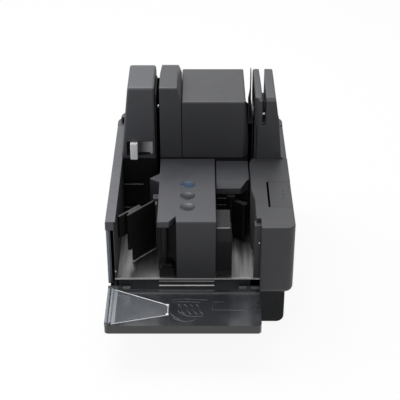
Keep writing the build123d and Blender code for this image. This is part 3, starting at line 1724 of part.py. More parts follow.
with BuildPart() as clear_flap:
    add(
        outline_upright(
            (
                (flap_axis_x, flap_near_y),
                (flap_axis_x + 3, flap_near_y),
                (flap_tip_x, front_y - flap_tip_near_depth),
                (flap_tip_x, front_y - flap_tip_far_depth),
                (flap_axis_x + 3, flap_far_y),
                (flap_axis_x, flap_far_y),
            ),
            flap_low,
            flap_low + flap_thickness,
        )
    )
    rod((flap_axis_x, flap_near_y, flap_axis_z), (flap_axis_x, flap_far_y, flap_axis_z), flap_barrel)
    rod(
        (flap_axis_x, flap_near_y - 1, flap_axis_z),
        (flap_axis_x, flap_far_y + 1, flap_axis_z),
        flap_pin_radius + running,
        mode=Mode.SUBTRACT,
    )
    for stud_depth in (flap_tip_near_depth - 2, flap_tip_far_depth + 2):
        post(flap_tip_x - 1.6, front_y - stud_depth, flap_low + 0.5, flap_low + flap_thickness + 0.9, 1.4)
save(clear_flap, "clear_flap")

# ---------------------------------------------------------------- pins and springs
with BuildPart() as tray_hinge_pins:
    for low_x, high_x in (
        (tray_left_x + 3, tray_lug_left_x + 3 * tray_lug_width),
        (tray_lug_right_x - 2 * tray_lug_width, tray_right_x - 3),
    ):
        rod((low_x, tray_axis_y, tray_axis_z), (high_x, tray_axis_y, tray_axis_z), tray_pin_radius - running)
    rod(
        (flap_axis_x, flap_near_y - flap_ear, flap_axis_z),
        (flap_axis_x, flap_far_y + flap_ear, flap_axis_z),
        flap_pin_radius,
    )
save(tray_hinge_pins, "tray_hinge_pins")

with BuildPart() as hinge_pins:
    for (pin_x, pin_y), pin_top in zip(fixed_pins, (hopper_top, drum_top, lug_top, hopper_top)):
        post(pin_x, pin_y, floor_under, pin_top, pin_radius)
    post(idler_x, idler_y, bracket_top - 3, casing_top - overhang_thickness, idler_pin_radius)
    for ear_y in (front_ear_y, rear_ear_y):
        rod(
            (cover_pivot_x, ear_y, cover_pivot_z),
            (cover_pivot_x, ear_y + 2 * ear_width, cover_pivot_z),
            cover_pin_radius,
        )
    rod((lid_pin_x, lid_near_y, lid_pin_z), (lid_pin_x, lid_far_y, lid_pin_z), lid_pin_radius)
save(hinge_pins, "hinge_pins")

wire_radius = 0.4
coil_radius = 2.1
coil_pitch = 1.0
coil_turns = 4
with BuildPart() as torsion_springs:
    for coil_x, coil_y, coil_low in (
        (paddle_pivot_x, paddle_pivot_y, coil_seat_z),
        (arm_pivot_x, arm_pivot_y, floor_top),
    ):
        with BuildLine():
            coil = Helix(
                pitch=coil_pitch,
                height=coil_pitch * coil_turns,
                radius=coil_radius,
                center=(coil_x, coil_y, coil_low + wire_radius),
            )
        with BuildSketch(Plane(origin=coil @ 0, z_dir=coil % 0)):
            Circle(wire_radius)
        sweep(path=coil)
save(torsion_springs, "torsion_springs")

with BuildPart() as lever_pin:
    post(lever_pin_x, lever_pin_y, cover_low, window_high + 3, lever_pin_radius)
save(lever_pin, "lever_pin")
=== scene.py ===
import json
import math

import bmesh
import bpy
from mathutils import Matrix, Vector


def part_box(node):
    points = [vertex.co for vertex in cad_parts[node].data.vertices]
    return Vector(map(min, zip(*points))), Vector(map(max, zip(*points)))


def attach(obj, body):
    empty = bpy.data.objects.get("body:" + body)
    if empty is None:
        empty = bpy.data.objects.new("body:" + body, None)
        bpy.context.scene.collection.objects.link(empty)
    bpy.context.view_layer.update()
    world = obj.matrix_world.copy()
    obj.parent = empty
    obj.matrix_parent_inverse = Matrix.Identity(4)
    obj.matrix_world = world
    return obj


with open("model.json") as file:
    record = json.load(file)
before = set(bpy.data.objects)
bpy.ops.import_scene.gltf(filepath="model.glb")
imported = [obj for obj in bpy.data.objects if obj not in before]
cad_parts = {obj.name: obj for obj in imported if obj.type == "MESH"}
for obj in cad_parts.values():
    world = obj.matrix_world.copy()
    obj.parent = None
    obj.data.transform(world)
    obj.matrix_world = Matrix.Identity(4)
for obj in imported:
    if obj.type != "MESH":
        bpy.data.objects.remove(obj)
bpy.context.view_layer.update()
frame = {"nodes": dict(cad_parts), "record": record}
nodes = frame["nodes"]
scene = bpy.context.scene

MM = 0.001
FAR = 1.0  # beyond any piece
WHITE = (1.0, 1.0, 1.0)

# --- Shader helpers ----------------------------------------------------------

NOISE_RANGE = (0.3, 0.7)  # where most of a noise texture's values lie


def new_material(name, colour, rough, metal=0.0, coat=0.0, coat_rough=0.1, specular=0.5):
    mat = bpy.data.materials.new(name)
    mat.use_nodes = True
    tree = mat.node_tree
    shader = tree.nodes["Principled BSDF"]
    shader.inputs["Base Color"].default_value = (*colour, 1.0)
    shader.inputs["Roughness"].default_value = rough
    shader.inputs["Metallic"].default_value = metal
    shader.inputs["Coat Weight"].default_value = coat
    shader.inputs["Coat Roughness"].default_value = coat_rough
    shader.inputs["Specular IOR Level"].default_value = specular
    return mat, tree, shader


def object_coords(tree, scale=(1.0, 1.0, 1.0)):
    coords = tree.nodes.new("ShaderNodeTexCoord")
    mapping = tree.nodes.new("ShaderNodeMapping")
    mapping.inputs["Scale"].default_value = scale
    tree.links.new(coords.outputs["Object"], mapping.inputs["Vector"])
    return mapping.outputs["Vector"]


def object_axis(tree, axis):
    """The object's own coordinate on one axis."""
    coords = tree.nodes.new("ShaderNodeTexCoord")
    split = tree.nodes.new("ShaderNodeSeparateXYZ")
    tree.links.new(coords.outputs["Object"], split.inputs["Vector"])
    return split.outputs[axis]


def math_node(tree, operation, *values):
    """A math node on those values, each a socket or a number."""
    node = tree.nodes.new("ShaderNodeMath")
    node.operation = operation
    for socket, value in zip(node.inputs, values):
        if isinstance(value, float):
            socket.default_value = value
        else:
            tree.links.new(value, socket)
    return node.outputs["Value"]


def noise(tree, vector, scale, detail=2.0, rough=0.5):
    texture = tree.nodes.new("ShaderNodeTexNoise")
    texture.inputs["Scale"].default_value = scale
    texture.inputs["Detail"].default_value = detail
    texture.inputs["Roughness"].default_value = rough
    tree.links.new(vector, texture.inputs["Vector"])
    return texture.outputs["Fac"]


def ramp(tree, value, low, high, stops=(0.35, 0.65)):
    node = tree.nodes.new("ShaderNodeValToRGB")
    for element, stop, colour in zip(node.color_ramp.elements, stops, (low, high)):
        element.position = stop
        element.color = (*colour, 1.0)
    tree.links.new(value, node.inputs["Fac"])
    return node.outputs["Color"]


def map_range(tree, value, source, target=(0.0, 1.0)):
    """The value carried from the source range over to the target range."""
    node = tree.nodes.new("ShaderNodeMapRange")
    node.inputs["From Min"].default_value, node.inputs["From Max"].default_value = source
    node.inputs["To Min"].default_value, node.inputs["To Max"].default_value = target
    tree.links.new(value, node.inputs["Value"])
    return node.outputs["Result"]


def bump(tree, shader, height, strength, distance):
    node = tree.nodes.new("ShaderNodeBump")
    node.inputs["Strength"].default_value = strength
    node.inputs["Distance"].default_value = distance
    tree.links.new(height, node.inputs["Height"])
    tree.links.new(node.outputs["Normal"], shader.inputs["Normal"])


def place_mask(tree, axis, low, high):
    """1 where the object's own coordinate on that axis is between low and high, else 0."""
    place = object_axis(tree, axis)
    return times(tree, math_node(tree, "GREATER_THAN", place, low), math_node(tree, "LESS_THAN", place, high))


def times(tree, first, second):
    return math_node(tree, "MULTIPLY", first, second)


def recolour(tree, shader, mask, colour):
    """Another colour where the mask is 1, on top of what the base colour already is."""
    link = shader.inputs["Base Color"].links[0]
    node = tree.nodes.new("ShaderNodeMix")
    node.data_type = "RGBA"
    tree.links.new(mask, node.inputs["Factor"])
    tree.links.new(link.from_socket, node.inputs["A"])
    node.inputs["B"].default_value = (*colour, 1.0)
    tree.links.new(node.outputs["Result"], shader.inputs["Base Color"])


def dull(tree, shader, mask, extra):
    """A rougher surface where the mask is 1, on top of the roughness it already has."""
    link = shader.inputs["Roughness"].links[0]
    tree.links.new(math_node(tree, "MULTIPLY_ADD", mask, extra, link.from_socket), shader.inputs["Roughness"])


def shade(colour, factor):
    return tuple(c * factor for c in colour)


# --- Kinds of material -------------------------------------------------------

MOULDED_TONE = (0.93, 1.07)  # darkest and lightest share of a moulding's colour
MOULDED_GLOSS = 0.05  # how far its roughness strays
GRAIN_HEIGHT = 0.00006
BRUSHED_TONE = (0.82, 1.12)
STREAK_HEIGHT = 0.00004
CLEAR_SPECULAR = 0.7
CLEAR_CLOUD = 45.0  # scale of the haze in clear plastic


def textured_plastic(name, colour, rough, grain=1500.0, strength=0.25, specular=0.5, coat=0.0):
    """Spark-eroded moulding: a fine grain, with slow variation in tone and gloss."""
    mat, tree, shader = new_material(name, colour, rough, coat=coat, specular=specular)
    vector = object_coords(tree)
    low, high = (shade(colour, tone) for tone in MOULDED_TONE)
    tree.links.new(ramp(tree, noise(tree, vector, 14.0, 3.0), low, high), shader.inputs["Base Color"])
    gloss = map_range(
        tree, noise(tree, vector, 60.0, 3.0), NOISE_RANGE, (rough - MOULDED_GLOSS, rough + MOULDED_GLOSS)
    )
    tree.links.new(gloss, shader.inputs["Roughness"])
    bump(tree, shader, noise(tree, vector, grain, 2.0, 0.6), strength, GRAIN_HEIGHT)
    return mat


def brushed(name, colour, rough, scale, strength=0.15):
    """Metal with fine streaks along the axis whose scale is smallest."""
    mat, tree, shader = new_material(name, colour, rough, metal=1.0)
    streaks = noise(tree, object_coords(tree, scale), 1.0, 5.0, 0.65)
    low, high = (shade(colour, tone) for tone in BRUSHED_TONE)
    tree.links.new(ramp(tree, streaks, low, high), shader.inputs["Base Color"])
    gloss = map_range(tree, streaks, NOISE_RANGE, (rough - 0.07, rough + 0.08))
    tree.links.new(gloss, shader.inputs["Roughness"])
    bump(tree, shader, streaks, strength, STREAK_HEIGHT)
    return mat


def haze(tree, shader, low, high):
    """Slow variation in a clear plastic's gloss."""
    cloud = noise(tree, object_coords(tree), CLEAR_CLOUD, 3.0)
    tree.links.new(map_range(tree, cloud, NOISE_RANGE, (low, high)), shader.inputs["Roughness"])


def clear_plastic(name, tint, rough, alpha):
    mat, tree, shader = new_material(name, tint, rough, specular=CLEAR_SPECULAR)
    shader.inputs["Alpha"].default_value = alpha
    haze(tree, shader, rough, rough + 0.06)
    return mat


def lit_button(name, colour, glow, strength):
    """Translucent key with a lamp under it, brightest in its middle."""
    mat, tree, shader = new_material(name, colour, 0.35, coat=0.2)
    low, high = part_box("power_button")
    centre = (low + high) / 2
    coords = tree.nodes.new("ShaderNodeTexCoord")
    offset = tree.nodes.new("ShaderNodeMapping")
    offset.inputs["Location"].default_value = tuple(-c for c in centre)
    length = tree.nodes.new("ShaderNodeVectorMath")
    length.operation = "LENGTH"
    tree.links.new(coords.outputs["Object"], offset.inputs["Vector"])
    tree.links.new(offset.outputs["Vector"], length.inputs[0])
    fall = map_range(tree, length.outputs["Value"], (0.001, 0.008), (strength, strength * 0.15))
    tree.links.new(fall, shader.inputs["Emission Strength"])
    shader.inputs["Emission Color"].default_value = (*glow, 1.0)
    return mat


# --- Palette -----------------------------------------------------------------

GREY = (0.042, 0.043, 0.049)
BLACK = (0.006, 0.006, 0.007)
SOLDER_MASK = (0.012, 0.075, 0.035)
CASING_ROUGH = 0.48
EVEN_GRAIN = (300.0, 300.0, 300.0)

palette = {
    "casing_grey": textured_plastic("casing grey", GREY, CASING_ROUGH),
    "inner_black": textured_plastic("inner black", (0.005, 0.005, 0.006), 0.45, 1100.0, 0.15, 0.2),
    "panel_grey": textured_plastic("panel grey", (0.040, 0.041, 0.048), 0.5),
    "clear_plastic": clear_plastic("clear plastic", (0.62, 0.66, 0.70), 0.06, 0.30),
    "bright_steel": brushed("bright steel", (0.70, 0.69, 0.68), 0.30, (12.0, 60.0, 500.0), 0.05),
    "dark_steel": brushed("blackened steel", (0.05, 0.05, 0.052), 0.35, (60.0, 60.0, 500.0)),
    "button_grey": textured_plastic("button grey", (0.020, 0.021, 0.026), 0.34, 1600.0, 0.1, 0.5, 0.1),
    "power_blue": lit_button("lit key", (0.022, 0.040, 0.062), (0.03, 0.09, 0.20), 0.22),
    "white_tab": textured_plastic("white tab", (0.93, 0.93, 0.92), 0.35, 900.0, 0.08),
    "rubber": textured_plastic("ground rubber", (0.018, 0.018, 0.018), 0.8, 2600.0, 0.5),
    "belt": textured_plastic("belt rubber", (0.010, 0.010, 0.010), 0.7, 1800.0, 0.4),
    "spring_steel": brushed("spring steel", (0.42, 0.42, 0.43), 0.3, (900.0, 900.0, 900.0)),
    "motor_zinc": brushed("motor zinc", (0.38, 0.38, 0.39), 0.42, (90.0, 90.0, 600.0)),
    "board_green": textured_plastic("solder mask", SOLDER_MASK, 0.35, 500.0, 0.1),
    "cartridge_blue": textured_plastic("cartridge", (0.04, 0.05, 0.085), 0.4),
    "sensor_black": textured_plastic("sensor black", (0.008, 0.008, 0.010), 0.2, 300.0, 0.03, 0.6, 0.6),
    "socket_metal": brushed("plated shell", (0.55, 0.55, 0.55), 0.2, EVEN_GRAIN, 0.05),
    "strip_blue_grey": clear_plastic("edge strip", (0.20, 0.24, 0.28), 0.15, 0.8),
}

# --- Places on the frame -----------------------------------------------------

left_wall_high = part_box("left_front_casing")[1]
tower_low, tower_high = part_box("tower_housing")
floor_front_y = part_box("floor_plate")[0].y
front_y = tower_low.y
wall_top = left_wall_high.z
bay_rear_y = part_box("left_track_cover")[0].y
wall_face_x = left_wall_high.x - 1.6 * MM
right_face_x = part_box("right_front_casing")[0].x
rim_z = wall_top - 0.3 * MM  # the painted shade on the inner faces stops just under the walls' top
recess_right_x = -23.9 * MM  # the tower's recess beside the pocket, where shade is painted in black
recess_rear_y = front_y + 16.2 * MM
recess_top_z = tower_high.z - 4.0 * MM
card_slot_x = (66.2 * MM, 70.8 * MM)  # the gap between the two fins, with shade painted in black on its faces
card_slot_z = (170.6 * MM, 200.6 * MM)
feed_cap_z = 101.6 * MM  # where the feed block's cap ends
sill_z = 40 * MM
# where the tray's painted shade begins, at its hinge and along its lip
tray_hinge_y = front_y - 6.4 * MM
tray_lip_y = front_y - 65 * MM
# left of this the flap's root gets its painted reflection
flap_root_x = -84.5 * MM
lamp_foot_z = wall_top - 2.0 * MM
floor_edge_y = floor_front_y + 0.9 * MM

# --- Finishes, painted light and painted shade that change with the place on a piece ---

DARK_FACE_DULL = 0.4  # roughness added on the faces with shade painted in the inner black

# Shares of the casing's grey, fitted to the photo's light from the front.
# The real mouldings are probably all one grey, which is 1.0 for each.
CASING_SHARE = {
    "left_wall": 1.65,
    "right_wall": 0.66,
    "tower": 0.62,
    "fins": 0.9,
    "left_track_cover": 1.2,
    "centre_housing": 0.68,
    "inner_track_cover": 0.74,
    "imprinter_lid": 0.5,
    "hopper_cover": 1.1,
}


def casing_with_painted_shade(name, x_range, y_range, z_high, share):
    """A share of the casing's grey, itself painted light and shade, with shade painted in black on the faces
    inside that box.
    """
    mat = textured_plastic(name, shade(GREY, share), CASING_ROUGH)
    tree = mat.node_tree
    inside = times(tree, place_mask(tree, "X", *x_range), place_mask(tree, "Y", *y_range))
    inside = times(tree, inside, place_mask(tree, "Z", -FAR, z_high))
    recolour(tree, tree.nodes["Principled BSDF"], inside, BLACK)
    dull(tree, tree.nodes["Principled BSDF"], inside, DARK_FACE_DULL)
    return mat


def height_split(name, height, upper, lower):
    """One colour above a height and another below it."""
    mat = textured_plastic(name, upper, 0.45, specular=0.22)
    tree = mat.node_tree
    recolour(tree, tree.nodes["Principled BSDF"], place_mask(tree, "Z", -FAR, height), lower)
    return mat


# the fins' share of the grey, with shade painted in black on the faces in the card slot
def fins_with_painted_slot_shade():
    mat = textured_plastic("fin grey", shade(GREY, CASING_SHARE["fins"]), CASING_ROUGH)
    tree = mat.node_tree
    slot = times(tree, place_mask(tree, "X", *card_slot_x), place_mask(tree, "Z", *card_slot_z))
    recolour(tree, tree.nodes["Principled BSDF"], slot, BLACK)
    dull(tree, tree.nodes["Principled BSDF"], slot, DARK_FACE_DULL)
    return mat


def base_with_pale_sill():
    mat = textured_plastic("base charcoal", (0.0055, 0.006, 0.007), 0.66, specular=0.25)
    tree = mat.node_tree
    sill = times(tree, place_mask(tree, "Z", sill_z, FAR), place_mask(tree, "Y", -FAR, front_y + 4 * MM))
    recolour(tree, tree.nodes["Principled BSDF"], sill, (0.016, 0.018, 0.021))
    return mat


def tray_with_painted_shade():
    """Glossy tray, with shade painted along its lip and at its hinge, where it is also dull."""
    mat = textured_plastic("tray gloss", (0.022, 0.024, 0.028), 0.22, 700.0, 0.03, 0.5, 0.5)
    tree = mat.node_tree
    shader = tree.nodes["Principled BSDF"]
    hinge = place_mask(tree, "Y", tray_hinge_y, FAR)
    recolour(tree, shader, hinge, (0.013, 0.014, 0.017))
    recolour(tree, shader, place_mask(tree, "Y", -FAR, tray_lip_y), (0.013, 0.013, 0.015))
    dull(tree, shader, hinge, 0.45)
    return mat


def flap_with_painted_root_reflection():
    """Clear sheet, with a painted reflection: a whiter band where the flap bends into its hinge."""
    mat, tree, shader = new_material("clear flap", (0.62, 0.66, 0.72), 0.05, specular=CLEAR_SPECULAR)
    sheet_alpha, root_alpha = 0.06, 0.22  # the root's is added to the sheet's
    root = place_mask(tree, "X", -FAR, flap_root_x)
    tree.links.new(math_node(tree, "MULTIPLY_ADD", root, root_alpha, sheet_alpha), shader.inputs["Alpha"])
    haze(tree, shader, 0.04, 0.12)
    return mat


def plate_with_painted_reflection():
    """Polished lever plate, with a painted reflection that lightens its colour towards its right end."""
    mat, tree, shader = new_material("lever plate", (0.4, 0.4, 0.4), 0.35, metal=0.3)
    low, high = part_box("lever_plate")
    along = map_range(tree, object_axis(tree, "X"), (low.x, high.x))
    reflection_tones = ramp(tree, along, (0.10, 0.09, 0.10), (0.80, 0.79, 0.80), (0.2, 1.0))
    tree.links.new(reflection_tones, shader.inputs["Base Color"])
    return mat


def lamp_on_board():
    """Solder mask, with the status lamp's red light pipe where the board's lamp stands up."""
    mat = textured_plastic("board with lamp", SOLDER_MASK, 0.35, 500.0, 0.1)
    tree = mat.node_tree
    shader = tree.nodes["Principled BSDF"]
    pipe = place_mask(tree, "Z", lamp_foot_z, FAR)
    recolour(tree, shader, pipe, (0.10, 0.03, 0.03))
    shader.inputs["Emission Color"].default_value = (0.045, 0.008, 0.008, 1.0)
    tree.links.new(pipe, shader.inputs["Emission Strength"])
    return mat


# brushed floor plate, with a painted highlight along its polished front edge
def floor_with_painted_edge_highlight():
    mat = brushed("floor plate", (0.34, 0.34, 0.34), 0.34, (700.0, 14.0, 50.0))
    tree = mat.node_tree
    edge = place_mask(tree, "Y", -FAR, floor_edge_y)
    recolour(tree, tree.nodes["Principled BSDF"], edge, (0.85, 0.84, 0.83))
    return mat


left_wall = casing_with_painted_shade(
    "left wall", (wall_face_x, FAR), (-FAR, bay_rear_y), rim_z, CASING_SHARE["left_wall"]
)
special = {
    "left_front_casing": left_wall,
    "left_rear_casing": left_wall,
    "right_front_casing": casing_with_painted_shade(
        "right wall",
        (right_face_x - MM, right_face_x + 4.2 * MM),
        (front_y + 10.6 * MM, FAR),
        rim_z,
        CASING_SHARE["right_wall"],
    ),
    "tower_housing": casing_with_painted_shade(
        "tower",
        (tower_low.x - FAR, recess_right_x),
        (-FAR, recess_rear_y),
        recess_top_z,
        CASING_SHARE["tower"],
    ),
    "feed_block": height_split("feed block", feed_cap_z, (0.017, 0.017, 0.020), BLACK),
    "pocket_paddle": textured_plastic("paddle black", BLACK, 0.42, 1100.0, 0.15),
    "fin_housing": fins_with_painted_slot_shade(),
    "base_pan": base_with_pale_sill(),
    "front_tray": tray_with_painted_shade(),
    "clear_flap": flap_with_painted_root_reflection(),
    "lever_plate": plate_with_painted_reflection(),
    "panel_board": lamp_on_board(),
    "floor_plate": floor_with_painted_edge_highlight(),
}

# each cover gets its own share of the grey: painted light and shade
for name in ("left_track_cover", "centre_housing", "inner_track_cover", "imprinter_lid", "hopper_cover"):
    special[name] = textured_plastic(f"casing grey {name}", shade(GREY, CASING_SHARE[name]), CASING_ROUGH)

slots = {s["node"]: s["material_slot"] for s in frame["record"]["subparts"]}
for name, node in nodes.items():
    mat = special[name] if name in special else palette[slots[name]]
    if node.data.materials:
        for index in range(len(node.data.materials)):
            node.data.materials[index] = mat
    else:
        node.data.materials.append(mat)

# --- Small pieces that ride on the frame -------------------------------------


def add_piece(name, mesh, body, mat):
    mesh.materials.append(mat)
    obj = bpy.data.objects.new(name, mesh)
    scene.collection.objects.link(obj)
    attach(obj, body)


def bar_piece(name, low, high, ease, body, slot_name, mat):
    """A bar with eased edges between two corners in millimetres."""
    shape = bmesh.new()
    bmesh.ops.create_cube(shape, size=1.0)
    size = [(b - a) * MM for a, b in zip(low, high)]
    bmesh.ops.scale(shape, vec=size, verts=shape.verts)
    bmesh.ops.bevel(shape, geom=shape.edges[:], offset=ease * MM, segments=3, profile=0.5, affect="EDGES")
    centre = Vector([(a + b) / 2 * MM for a, b in zip(low, high)])
    bmesh.ops.translate(shape, vec=centre, verts=shape.verts)
    mesh = bpy.data.meshes.new(name)
    shape.to_mesh(mesh)
    shape.free()
    add_piece(name, mesh, body, mat)


def stroke(name, points, radius, body, slot_name, mat, smooth=True):
    """A thin round bead through points in millimetres, as a curve or as straight runs."""
    curve = bpy.data.curves.new(name, "CURVE")
    curve.dimensions = "3D"
    curve.bevel_depth = radius * MM
    curve.bevel_resolution = 3
    curve.use_fill_caps = True
    spline = curve.splines.new("NURBS" if smooth else "POLY")
    spline.points.add(len(points) - 1)
    for target, point in zip(spline.points, points):
        target.co = (*[c * MM for c in point], 1.0)
    if smooth:
        spline.order_u = 3
        spline.use_endpoint_u = True
        spline.resolution_u = 6
    holder = bpy.data.objects.new(name, curve)
    scene.collection.objects.link(holder)
    bpy.context.view_layer.update()
    mesh = bpy.data.meshes.new_from_object(holder.evaluated_get(bpy.context.evaluated_depsgraph_get()))
    bpy.data.objects.remove(holder)
    mesh.name = name
    for face in mesh.polygons:
        face.use_smooth = True
    add_piece(name, mesh, body, mat)


def on_level(path, z):
    """Points in millimetres at one height, from pairs of x and y ahead of the front plane."""
    return [(x, front + y, z) for x, y in path]


front = front_y / MM  # the machine's front plane, in millimetres
tray_bead = textured_plastic("tray relief", (0.034, 0.036, 0.040), 0.25, 700.0, 0.03, 0.5, 0.6)
flap_edge_highlight = clear_plastic("painted flap edge highlight", (0.92, 0.93, 0.95), 0.08, 0.95)
ledge_highlight = textured_plastic("painted ledge highlight", (0.14, 0.14, 0.15), 0.4)
strip_grey = textured_plastic("end rib grey", (0.060, 0.070, 0.082), 0.3, 900.0, 0.1)
brow_highlight = textured_plastic("painted brow highlight", (0.20, 0.20, 0.21), 0.35)
on_tray = ("front_tray", "tray_gloss", tray_bead)
on_flap = ("clear_flap", "clear_plastic", flap_edge_highlight)
in_black = ("base", "inner_black", palette["inner_black"])
in_steel = ("base", "bright_steel", palette["bright_steel"])
in_highlight_grey = ("base", "casing_grey", ledge_highlight)

# generic grip relief on the tray: a curved frame round a row of like wavy beads
TRAY_TOP = 50.0
relief = (
    ((-29, -24), (-20, -21.5), (-8, -22.5), (7, -24)),
    ((-28, -27.5), (-14, -25.5), (0, -28)),
    ((-30, -26), (-32.5, -38), (-28, -50), (-20, -56)),
    ((-27, -53), (-20, -58.5), (-10, -59), (-4, -55)),
    *[((x - 3, -31), (x + 1, -35), (x - 1, -41), (x + 4, -47)) for x in (-19, -13, -7, -1)],
    ((-22, -42), (-16, -49), (-8, -51), (3, -50)),
)
for index, path in enumerate(relief):
    stroke(f"tray_relief_{index + 1}", on_level(path, TRAY_TOP), 0.32, *on_tray)

# stepped window and hand hold at the tray's right end
window = ((12.5, -6), (12.5, -40), (47, -41))
stroke("tray_step_line", on_level(window, TRAY_TOP), 0.22, *on_tray, smooth=False)
hold = ((49.5, -10), (52.5, -14), (53.0, -38), (50.0, -43))
stroke("tray_hold_bead", on_level(hold, TRAY_TOP), 0.45, *on_tray)
bar_piece("tray_hold_mark", (14, front - 27.5, 49.7), (25, front - 26.2, 50.2), 0.1, *on_tray)
for index, notch_y in enumerate((-9, -29, -36, -44)):
    bar_piece(
        f"tray_edge_catch_{index + 1}",
        (57.6, front + notch_y - 1.6, 48.6),
        (60.9, front + notch_y + 1.6, 50.5),
        0.35,
        "front_tray",
        "inner_black",
        palette["inner_black"],
    )

# painted highlights along the clear flap's polished edges and on its tip bumps
FLAP_TOP = 49.9
flap_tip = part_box("clear_flap")[1].x / MM
for name, path, radius in (
    ("flap_far_edge", ((-88.0, -6.6), (-86.6, -6.7), (flap_tip - 0.4, -32.2)), 0.42),
    ("flap_near_edge", ((-88.0, -62.4), (-86.6, -62.2), (flap_tip - 0.4, -48.2)), 0.3),
    ("flap_tip_edge", ((flap_tip - 0.3, -32.2), (flap_tip - 0.3, -48.2)), 0.35),
):
    stroke(name, on_level(path, FLAP_TOP), radius, *on_flap, smooth=False)
for index, tip_y in enumerate((-32.6, -47.8)):
    bar_piece(
        f"flap_tip_bump_{index + 1}",
        (flap_tip - 2.4, front + tip_y - 1.3, 49.7),
        (flap_tip + 0.6, front + tip_y + 1.3, 50.9),
        0.5,
        *on_flap,
    )

# a rib on the left wall's end strip, clear of where the flap stows, and the hinge cheek under it
strip_low, strip_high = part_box("left_end_strip")
bar_piece(
    "left_end_rib",
    (-92.1, front + 5.4, strip_low.z / MM + 0.4),
    (-90.6, front + 6.6, strip_high.z / MM - 0.4),
    0.3,
    "base",
    "strip_blue_grey",
    strip_grey,
)
bar_piece("left_hinge_cheek", (-92.5, front + 2.0, 42.5), (-88.1, front + 4.4, 51.2), 0.2, *in_black)
# a black bar closing a small gap in the track slot: painted shade
bar_piece("slot_gap_shade", (-45.9, front + 174.2, 169.9), (-43.6, front + 175.8, 171.1), 0.1, *in_black)

# painted highlights on the ledges inside the bays
for name, low_x, high_x, edge_y, edge_z in (
    ("left_bay_upper_line", -84.6, -62.2, front + 125.0, 97.5),
    ("left_bay_lower_line", -84.6, -70.2, front + 125.0, 67.3),
    ("right_bay_upper_line", 18.6, 27.8, front + 81.4, 106.4),
    ("right_bay_lower_line", 18.6, 27.8, front + 81.4, 98.0),
):
    stroke(name, [(low_x, edge_y, edge_z), (high_x, edge_y, edge_z)], 0.4, *in_highlight_grey, smooth=False)

# the floor plate's turned edge along the right wall, and a painted highlight on the feed block's brow
turned_edge = ((54.0, 0.6), (54.9, 30.0), (55.6, 58.0), (54.6, 78.0))
stroke("floor_turned_edge", on_level(turned_edge, 60.9), 0.4, "base", "floor_steel", palette["bright_steel"])
brow = ((16.6, 5.6), (30.0, 5.6))
stroke("feed_block_brow", on_level(brow, 118.0), 0.65, "base", "cap_grey", brow_highlight, smooth=False)

# polished screws and contacts, and a painted highlight on the card slot's sill
for name, x, y, z in (
    ("left_wall_screw", -86.4, front + 0.8, 68.0),
    ("right_pillar_screw", 59.8, front + 0.4, 103.6),
):
    bar_piece(name, (x - 0.8, y - 0.3, z - 0.8), (x + 0.8, y + 0.6, z + 0.8), 0.35, *in_steel)
bar_piece("card_contact", (66.7, front + 131, 180.6), (69.8, front + 133, 182.4), 0.4, *in_steel)
bar_piece("card_slot_sill", (66.5, front + 129.4, 170.8), (70.0, front + 131, 171.4), 0.2, *in_highlight_grey)

# --- Stage -------------------------------------------------------------------

FLOOR_SIZE = 6.0
FLOOR_GLOW = 1.07
FLOOR_GLOW_SHARE = 0.86  # the rest of what the camera sees is the lit floor, with the shadow
ROOM_LIGHT = (0.42, 0.425, 0.44)


def stage_plane(name, size, z, mat):
    mesh = bpy.data.meshes.new(name)
    h = size / 2
    mesh.from_pydata([(-h, -h, z), (h, -h, z), (h, h, z), (-h, h, z)], [], [(0, 1, 2, 3)])
    obj = bpy.data.objects.new(name, mesh)
    obj.data.materials.append(mat)
    scene.collection.objects.link(obj)


def pale_floor():
    """White to the camera and in reflections, with the object's shadow kept faint."""
    mat, tree, shader = new_material("studio floor", (0.42, 0.42, 0.42), 0.9, specular=0.0)
    glow = tree.nodes.new("ShaderNodeEmission")
    glow.inputs["Color"].default_value = (*WHITE, 1.0)
    glow.inputs["Strength"].default_value = FLOOR_GLOW
    rays = tree.nodes.new("ShaderNodeLightPath").outputs
    either = math_node(tree, "MAXIMUM", rays["Is Camera Ray"], rays["Is Glossy Ray"])
    blend = tree.nodes.new("ShaderNodeMixShader")
    tree.links.new(math_node(tree, "MULTIPLY", either, FLOOR_GLOW_SHARE), blend.inputs["Fac"])
    tree.links.new(shader.outputs["BSDF"], blend.inputs[1])
    tree.links.new(glow.outputs["Emission"], blend.inputs[2])
    tree.links.new(blend.outputs["Shader"], tree.nodes["Material Output"].inputs["Surface"])
    return mat


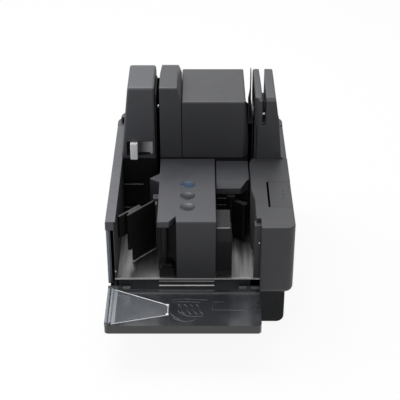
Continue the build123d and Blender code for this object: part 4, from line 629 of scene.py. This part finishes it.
def white_world():
    """Soft grey light on the object, white to the camera, through clear pieces and in reflections."""
    world = bpy.data.worlds.new("studio")
    world.use_nodes = True
    tree = world.node_tree
    rays = tree.nodes.new("ShaderNodeLightPath").outputs
    seen = math_node(tree, "MAXIMUM", rays["Is Camera Ray"], rays["Is Transmission Ray"])
    seen = math_node(tree, "MAXIMUM", seen, rays["Is Glossy Ray"])
    mix = tree.nodes.new("ShaderNodeMix")
    mix.data_type = "RGBA"
    mix.inputs["A"].default_value = (*ROOM_LIGHT, 1.0)
    mix.inputs["B"].default_value = (*WHITE, 1.0)
    tree.links.new(seen, mix.inputs["Factor"])
    tree.links.new(mix.outputs["Result"], tree.nodes["Background"].inputs["Color"])
    tree.nodes["Background"].inputs["Strength"].default_value = 1.0
    return world


def area(name, place, target, size, power):
    data = bpy.data.lights.new(name, "AREA")
    data.shape = "RECTANGLE"
    data.size, data.size_y = size
    data.energy = power
    obj = bpy.data.objects.new(name, data)
    scene.collection.objects.link(obj)
    obj.location = place
    obj.rotation_euler = (Vector(target) - Vector(place)).to_track_quat("-Z", "Y").to_euler()


stage_plane("studio_floor", FLOOR_SIZE, 0.0, pale_floor())
scene.world = white_world()
area("key_overhead", (-0.3, 0.35, 1.25), (0, 0, 0.08), (1.1, 0.9), 19.0)
area("fill_front", (-0.4, -1.3, 1.0), (0, 0, 0.08), (0.9, 0.7), 1.9)
area("side_left", (-1.2, 0.1, 0.6), (0, 0, 0.1), (0.5, 0.9), 3.0)

# --- Camera, solved from the photo's right angles ----------------------------

CAMERA_LENS = 98.4
CAMERA_SENSOR = 36.0
CAMERA_PLACE = (-0.0001, -0.991, 0.724)
CAMERA_DOWN = 32  # degrees below the level

camera_data = bpy.data.cameras.new("camera")
camera_data.lens = CAMERA_LENS
camera_data.sensor_width = CAMERA_SENSOR
camera = bpy.data.objects.new("camera", camera_data)
scene.collection.objects.link(camera)
camera.location = CAMERA_PLACE
camera.rotation_euler = (math.radians(90 - CAMERA_DOWN), 0.0, 0.0)
scene.camera = camera

scene.view_settings.view_transform = "Standard"
